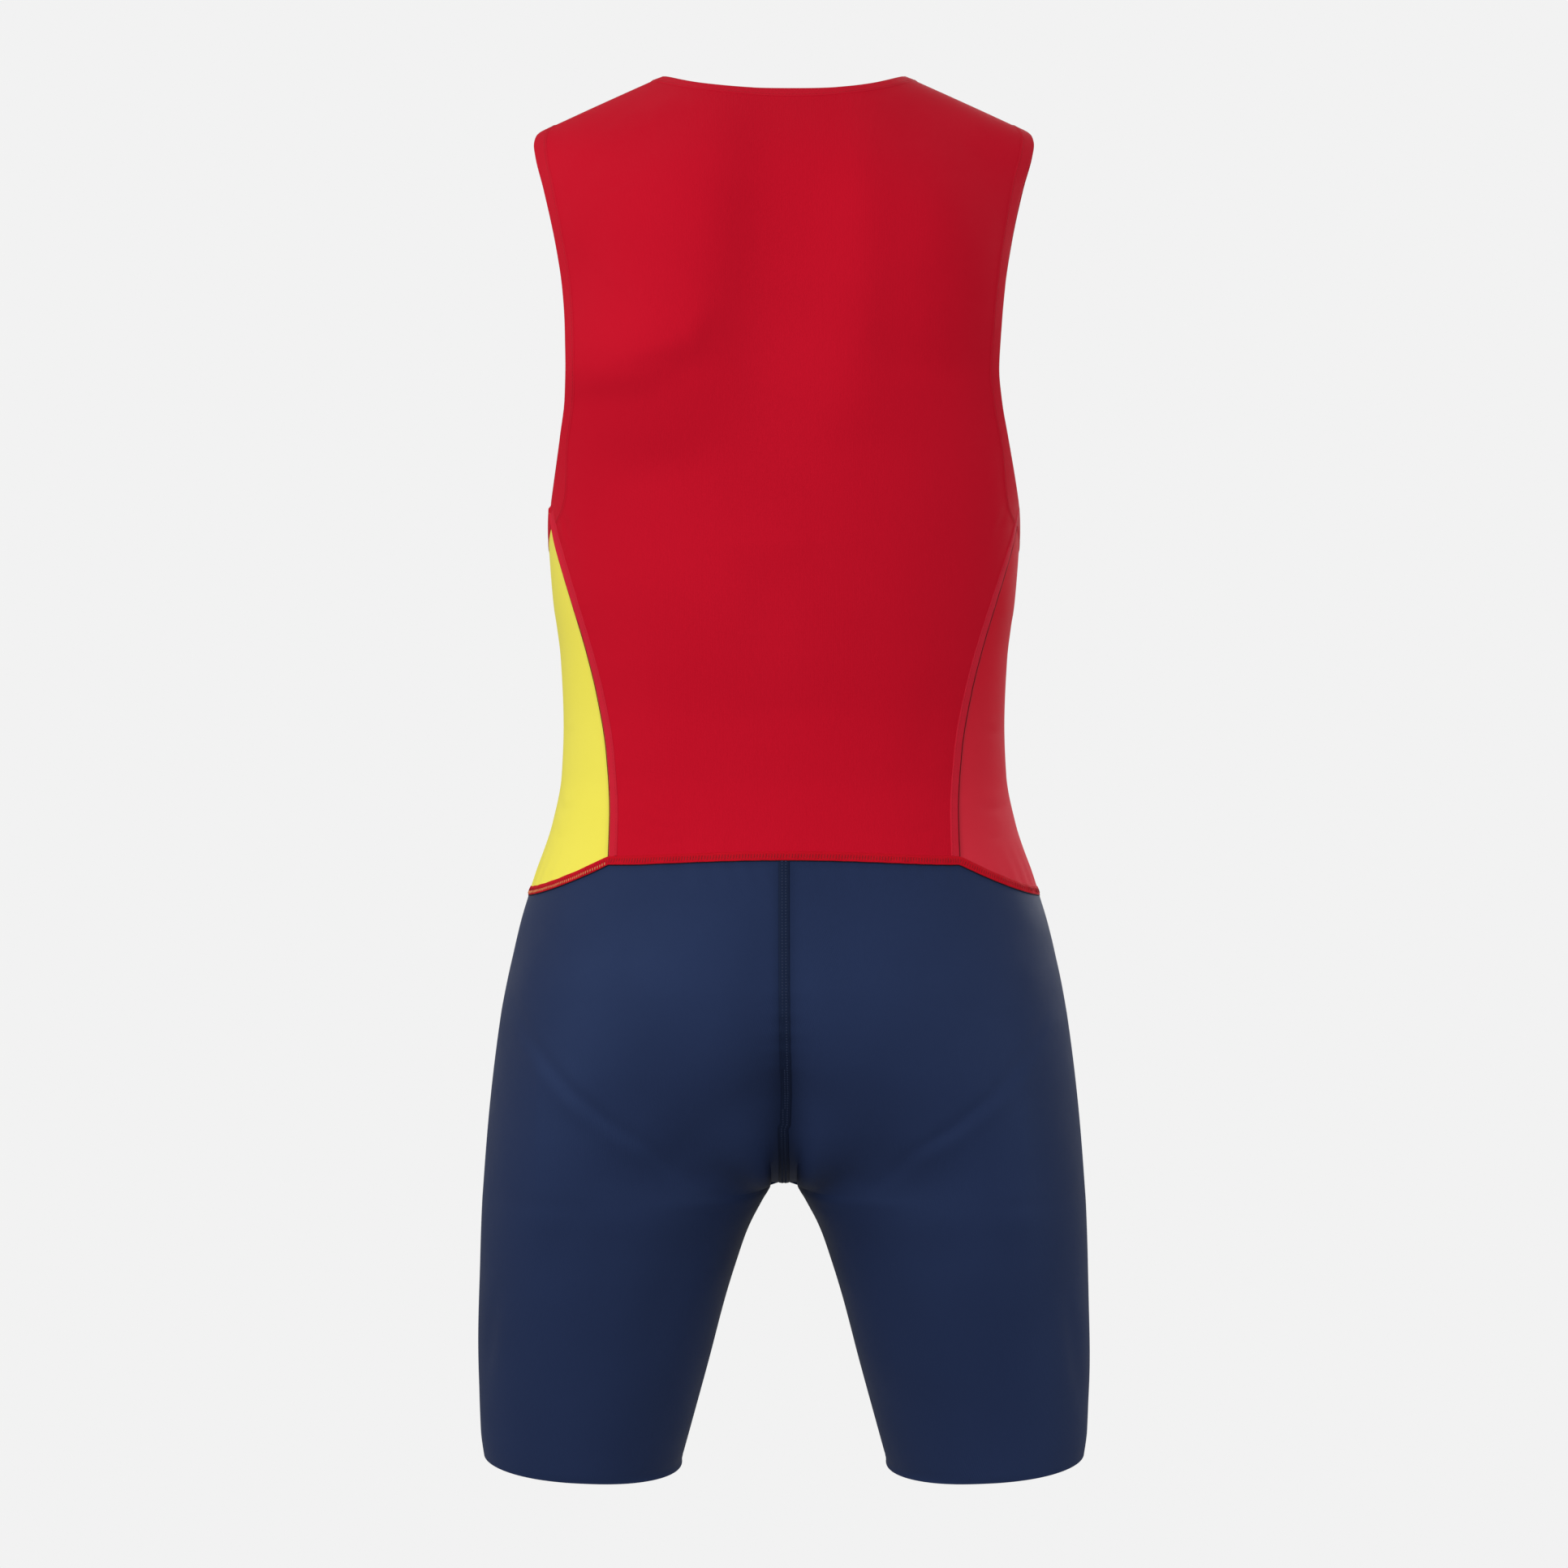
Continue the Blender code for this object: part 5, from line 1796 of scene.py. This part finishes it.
@dataclass
class Trims:
    """Bindings, seam tapes, raised seams and their stitches."""

    cut: Cut
    legs: LegForm
    neck_width: float = 0.0075
    armhole_width: float = 0.0100
    underarm_extra: float = 0.0150
    underarm_less: float = 0.0070
    underarm_reach: float = 0.0240
    underarm_half: float = 0.0480
    band_lift: float = 0.00024
    waist_width: float = 0.0058
    waist_lift: float = 0.00055
    rise_width: float = 0.0066
    rise_lift: float = 0.00050
    seam_width: float = 0.0058
    seam_lift: float = 0.00038
    seam_ends: float = 0.0040
    shoulder_share: float = 0.8
    shoulder_lift_share: float = 0.6
    shoulder_neck_end: float = 0.0010
    shoulder_arm_end: float = 0.0030
    shoulder_stitch_out: float = 0.0014
    tape_drop: float = 0.0008
    tape_inset: float = 0.0010
    tick_turn: float = math.pi / 2.0 - 0.16
    peach_turn: float = math.pi / 2.0 - 0.3
    peach_height: float = 0.0009
    peach_start: float = 0.1085
    edge_lift: float = 0.00015
    rise_top_gap: float = 0.0015
    rise_stitch_out: float = 0.0011
    band_inset: float = 0.0016
    seam_inset: float = 0.0012
    seam_edge_out: float = 0.0004
    seam_edge_lift: float = 0.00010
    thread_lift: float = 0.00008
    fine_thread_lift: float = 0.00006
    thick_thread_lift: float = 0.00012
    armhole_lean: float = 0.2
    under_end: float = 0.98
    under_stations: int = 60
    stations: int = 240

    def neck_path(self) -> Array:
        """The neck edge, as a ring.

        Returns:
            Points at even steps.
        """
        steps = np.linspace(0.0, math.pi, self.stations // 2, endpoint=False)
        halves = []
        for back in (True, False):
            x = self.cut.trunk.neck_half * np.cos(steps) * (1.0 if back else -1.0)
            z = self.cut.neck_edge(x, back)
            depth = self.cut.trunk.depth(x, z, back)
            halves.append(stack(x, depth if back else -depth, z))
        return evenly(np.concatenate(halves), PATH_STEP, closed=True)

    def armhole_path(self, side: Side) -> Array:
        """One armhole's edge, as a ring up the back, down the front and under the arm.

        Args:
            side: The side of the wearer.

        Returns:
            Points at even steps.
        """
        rise = np.linspace(self.cut.row_share_below, 1.0, self.stations)
        heights = self.cut.edge_height(rise)
        back = self.cut.panel_point(np.ones(self.stations), heights, True)
        front = self.cut.panel_point(np.ones(self.stations), heights, False)[::-1]
        share = np.linspace(-self.under_end, self.under_end, self.under_stations)
        under = self.cut.side_point(share, np.ones(self.under_stations))
        return evenly(np.concatenate([back, front, under]) * side.mirror, PATH_STEP, closed=True)

    def waist_path(self) -> Array:
        """The waist seam, as a ring.

        Returns:
            Points at even steps.
        """
        turn = np.linspace(0.0, 2.0 * math.pi, 2 * self.stations, endpoint=False)
        z = self.cut.waist_seam(np.arcsin(np.minimum(1.0, np.abs(np.sin(turn)))))
        return evenly(self.cut.trunk.point(turn, z), PATH_STEP, closed=True)

    def rise_path(self) -> Array:
        """The centre seam of the shorts, from the front waist under to the back waist.

        Returns:
            Points at even steps.
        """
        climb = self.legs.rise(np.linspace(0.0, 1.0, self.stations))
        z = self.legs.crotch + (self.cut.waist_centre - self.rise_top_gap - self.legs.crotch) * climb
        front = self.legs.point(np.zeros(self.stations), z)
        back = self.legs.point(np.ones(self.stations), z)
        line = np.concatenate([front[::-1], back])
        line[:, 0] = 0.0
        return evenly(line, PATH_STEP, closed=False)

    def side_seam_path(self, side: Side, back: bool) -> Array:
        """One side seam, from the waist to the armhole.

        Args:
            side: The side of the wearer.
            back: Whether it is the seam behind.

        Returns:
            Points at even steps.
        """
        low = self.cut.waist_corner + self.seam_ends
        high = self.cut.armhole_corner - self.seam_ends
        z = np.linspace(low, high, self.stations)
        line = self.cut.panel_point(np.ones(self.stations), z, back) * side.mirror
        return evenly(line, PATH_STEP, closed=False)

    def bind(
        self, skin: Skin, name: str, path: Array, toward: Array, width: float | Array
    ) -> list[Piece]:
        """Make a binding round an opening, with a row of stitches near its inner edge.

        Args:
            skin: The cloth's outside.
            name: The band's name.
            path: The edge, as a ring.
            toward: Direction from the edge into the cloth.
            width: The band's width along the path.

        Returns:
            The band and its stitches.
        """
        band = Band(name, path, toward, width, self.band_lift, BINDING, closed=True).make(skin)
        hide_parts(name.replace("band", "binding"))
        stitches = Stitching(
            f"{name}_stitches", path, toward, width - self.band_inset, BINDING_STITCH,
            self.band_lift + self.thread_lift, RED_THREAD, closed=True,
        ).make(skin)
        return [band, stitches]

    def make_bindings(self, skin: Skin) -> list[Piece]:
        """Bind the neck and the armholes.

        Args:
            skin: The cloth's outside.

        Returns:
            The bands and their stitches.
        """
        made = self.bind(skin, "neck_band", self.neck_path(), -UP, self.neck_width)
        for side in Side:
            path = self.armhole_path(side)
            away = unit(path - path.mean(axis=0)) - self.armhole_lean * side.value * LEFTWARD
            low = bell(path[:, 2] - self.cut.armhole_corner, self.underarm_reach)
            apart = smooth(np.abs(path[:, 1]) / self.underarm_half)
            extra = self.underarm_extra * apart - self.underarm_less * (1.0 - apart)
            width = self.armhole_width + low * extra
            made += self.bind(skin, f"armhole_band_{side.label}", path, away, width)
        return made

    def make_waist(self, skin: Skin) -> list[Piece]:
        """Make the tape over the waist seam, its cross stitches and its edge threads.

        Args:
            skin: The cloth's outside.

        Returns:
            The tape and its stitches.
        """
        path = self.waist_path()
        tape = Band(
            "waist_tape", path - UP * self.tape_drop, UP, self.waist_width, self.waist_lift, RED_TAPE,
            closed=True,
        ).make(skin)
        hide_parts("waist_seam_tape")
        ticks = Stitching(
            "waist_stitches", path, UP, self.waist_width / 2.0 - self.tape_inset, WAIST_TICK,
            self.waist_lift + self.thread_lift, TICK_THREAD, turned=self.tick_turn, closed=True,
        ).make(skin)
        edge = Stitching(
            "waist_lower_thread", path, UP, -self.tape_inset, WAIST_EDGE_STITCH, self.edge_lift, EDGE_THREAD,
            closed=True,
        ).make(skin)
        left = path[path[:, 0] > self.peach_start]
        left = left[np.argsort(np.arctan2(left[:, 1], left[:, 0]))]
        peach = Stitching(
            "waist_peach_stitches", left, UP, self.peach_height, PEACH_STITCH,
            self.waist_lift + self.thick_thread_lift, PEACH_THREAD, turned=self.peach_turn,
        ).make(skin)
        return [tape, ticks, edge, peach]

    def make_rise(self, skin: Skin) -> list[Piece]:
        """Make the tape over the centre seam, with two rows of stitches.

        Args:
            skin: The cloth's outside.

        Returns:
            The tape and its stitches.
        """
        path = self.rise_path()
        tape = Band(
            "rise_tape", path, LEFTWARD, self.rise_width, self.rise_lift, NAVY_TAPE, centred=True
        ).make(skin)
        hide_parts("rise_seam_tape")
        rows = [
            Stitching(
                f"rise_stitches_{side.label}", path, LEFTWARD, self.rise_stitch_out * side.value,
                RISE_STITCH, self.rise_lift + self.thread_lift, NAVY_THREAD,
            ).make(skin)
            for side in Side
        ]
        return [tape, *rows]

    def make_shoulder_seams(self, skin: Skin) -> list[Piece]:
        """Make the flat seam over each shoulder, with a row of stitches on both of its edges.

        Args:
            skin: The cloth's outside.

        Returns:
            The seams and their stitches.
        """
        made = []
        lift = self.seam_lift * self.shoulder_lift_share
        start = self.cut.trunk.neck_half + self.shoulder_neck_end
        end = self.cut.tip.out - self.shoulder_arm_end
        for side in Side:
            x = np.linspace(start, end, self.stations // 3)
            line = stack(x * side.value, 0.0, self.cut.trunk.shoulder_line(x))
            made.append(Band(
                f"shoulder_seam_{side.label}", line, BACKWARD, self.seam_width * self.shoulder_share, lift,
                BINDING, centred=True,
            ).make(skin))
            for label, toward in (("back", 1.0), ("front", -1.0)):
                made.append(Stitching(
                    f"shoulder_stitches_{side.label}_{label}", line, BACKWARD,
                    self.shoulder_stitch_out * toward, SEAM_STITCH, lift + self.fine_thread_lift, RED_THREAD,
                ).make(skin))
        return made

    def make_side_seams(self, skin: Skin) -> list[Piece]:
        """Make the raised flat seams beside the side panels, each with a dark thread on its outer edge.

        Args:
            skin: The cloth's outside.

        Returns:
            The seams and their stitches.
        """
        made = []
        for side in Side:
            for back in (True, False):
                label = f"{side.label}_{'back' if back else 'front'}"
                path = self.side_seam_path(side, back)
                inward = -side.value * LEFTWARD
                made.append(Band(
                    f"side_seam_{label}", path, inward, self.seam_width, self.seam_lift, FLAT_SEAM
                ).make(skin))
                made.append(Stitching(
                    f"side_seam_edge_{label}", path, inward, -self.seam_edge_out, SEAM_EDGE_STITCH,
                    self.seam_edge_lift, DARK_RED_THREAD,
                ).make(skin))
                made.append(Stitching(
                    f"side_seam_stitches_{label}", path, inward, self.seam_width - self.seam_inset,
                    SEAM_STITCH, self.seam_lift + self.fine_thread_lift, RED_THREAD,
                ).make(skin))
        return made


@dataclass(frozen=True)
class Lamp:
    """A soft square light: its place, where it points, its width and its power."""

    name: str
    place: tuple[float, float, float]
    aim: tuple[float, float, float]
    size: float
    energy: float

    def add(self) -> None:
        """Hang the light and turn it to its aim."""
        lamp = bpy.data.lights.new(self.name, "AREA")
        lamp.shape = "SQUARE"
        lamp.size = self.size
        lamp.energy = self.energy
        item = bpy.data.objects.new(self.name, lamp)
        bpy.context.scene.collection.objects.link(item)
        item.location = self.place
        offset = np.array(self.aim) - np.array(self.place)
        level = math.hypot(offset[0], offset[1])
        item.rotation_euler = (math.atan2(level, -offset[2]), 0.0, math.atan2(-offset[0], offset[1]))


@dataclass
class Studio:
    """A plain pale floor, soft light and the camera behind the suit."""

    pale: Colour = (0.888, 0.888, 0.888)
    floor_height: float = -1.02
    floor_radius: float = 40.0
    floor_corners: int = 96
    camera_distance: float = 1.75
    camera_height: float = -0.4358
    frame_width: float = 1.0046
    sensor: float = 36.0
    sky_light: float = 0.56
    floor_light: float = 0.24
    lamps: tuple[Lamp, ...] = (
        Lamp("key_light", (2.05, 1.55, 0.42), (0.0, 0.0, -0.50), 1.3, 36.0),
        Lamp("back_light", (0.2, 2.7, -0.14), (0.0, 0.0, -0.60), 1.6, 14.0),
        Lamp("side_light", (-2.2, 1.1, -0.58), (0.0, 0.0, -0.54), 1.0, 13.5),
        Lamp("front_light", (-1.2, -2.2, 0.7), (0.0, 0.0, -0.4), 1.8, 26.0),
    )

    def shine(self, tree: bpy.types.NodeTree, node: bpy.types.Node, light: float) -> None:
        """Make a node pale to the camera, and dimmer as a light on the suit.

        Args:
            tree: The nodes to add to.
            node: The glow or the background.
            light: Its strength as a light.
        """
        node.inputs["Color"].default_value = (*self.pale, 1.0)
        seen = tree.nodes.new("ShaderNodeLightPath")
        strength = tree.nodes.new("ShaderNodeMapRange")
        strength.inputs["To Min"].default_value = light
        strength.inputs["To Max"].default_value = 1.0
        tree.links.new(seen.outputs["Is Camera Ray"], strength.inputs["Value"])
        tree.links.new(strength.outputs["Result"], node.inputs["Strength"])

    def add_floor(self) -> None:
        """Lay a large round floor that looks as pale as the space round it."""
        bpy.ops.object.select_all(action="DESELECT")
        bpy.ops.mesh.primitive_circle_add(
            vertices=self.floor_corners, radius=self.floor_radius, fill_type="NGON",
            location=(0.0, 0.0, self.floor_height),
        )
        floor = bpy.context.active_object
        floor.name = floor.data.name = "floor"
        material = bpy.data.materials.new("pale_floor")
        material.use_nodes = True
        tree = material.node_tree
        tree.nodes.remove(tree.nodes["Principled BSDF"])
        glow = tree.nodes.new("ShaderNodeEmission")
        self.shine(tree, glow, self.floor_light)
        tree.links.new(glow.outputs["Emission"], tree.nodes["Material Output"].inputs["Surface"])
        floor.data.materials.append(material)

    def add_world(self) -> None:
        """Fill the space round the suit with a pale light, dimmer on the suit than it looks."""
        world = bpy.data.worlds.new("pale_space")
        bpy.context.scene.world = world
        world.use_nodes = True
        self.shine(world.node_tree, world.node_tree.nodes["Background"], self.sky_light)

    def add_camera(self) -> None:
        """Stand the camera level behind the suit."""
        camera = bpy.data.cameras.new("camera")
        camera.sensor_width = self.sensor
        camera.lens = self.sensor * self.camera_distance / self.frame_width
        item = bpy.data.objects.new("camera", camera)
        bpy.context.scene.collection.objects.link(item)
        item.location = (0.0, self.camera_distance, self.camera_height)
        item.rotation_euler = (math.pi / 2.0, 0.0, math.pi)
        bpy.context.scene.camera = item

    def make(self) -> None:
        """Set up the floor, the light and the camera."""
        bpy.context.scene.view_settings.view_transform = "Standard"
        self.add_floor()
        self.add_world()
        for lamp in self.lamps:
            lamp.add()
        self.add_camera()
        LOG.info("set up the studio")


FLAT_CUTS = {
    "back_panel": ((0.394, 0.545), 0.1528),
    "front_panel": ((0.365, 0.532), 0.1376),
    "side_panel_left": ((0.215, 0.236), 0.0319),
    "side_panel_right": ((0.215, 0.236), 0.0319),
    "shorts_left": ((0.579, 0.472), 0.1915),
    "shorts_right": ((0.579, 0.472), 0.1915),
}


def declare(trims: dict[str, list[Piece]]) -> None:
    """Go through the flat cut of each sheet of cloth and gather the trims that lie on it, without keeping
    either.

    Args:
        trims: The trims that lie on a sheet.
    """
    for node, (flat, area) in FLAT_CUTS.items():
        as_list(trims.get(node, []))


def main() -> None:
    """Build the suit piece by piece, then the studio."""
    logging.basicConfig(level=logging.INFO, format="%(message)s")
    trunk = TrunkForm()
    cut = Cut(trunk)
    legs = LegForm(trunk, cut)
    skin = Skin()
    pieces = Top(cut).make(skin)
    pieces.update(Shorts(legs).make(skin))
    skin.close()
    trims = Trims(cut, legs)
    bindings = trims.make_bindings(skin)
    LOG.info("made the bindings")
    waist = trims.make_waist(skin)
    LOG.info("made the waist tape")
    rise = trims.make_rise(skin)
    LOG.info("made the centre seam tape")
    seams = trims.make_side_seams(skin) + trims.make_shoulder_seams(skin)
    LOG.info("made the side and shoulder seams")
    declare({"back_panel": bindings + seams, "shorts_left": waist + rise})
    Studio().make()


if __name__ == "__main__":
    main()
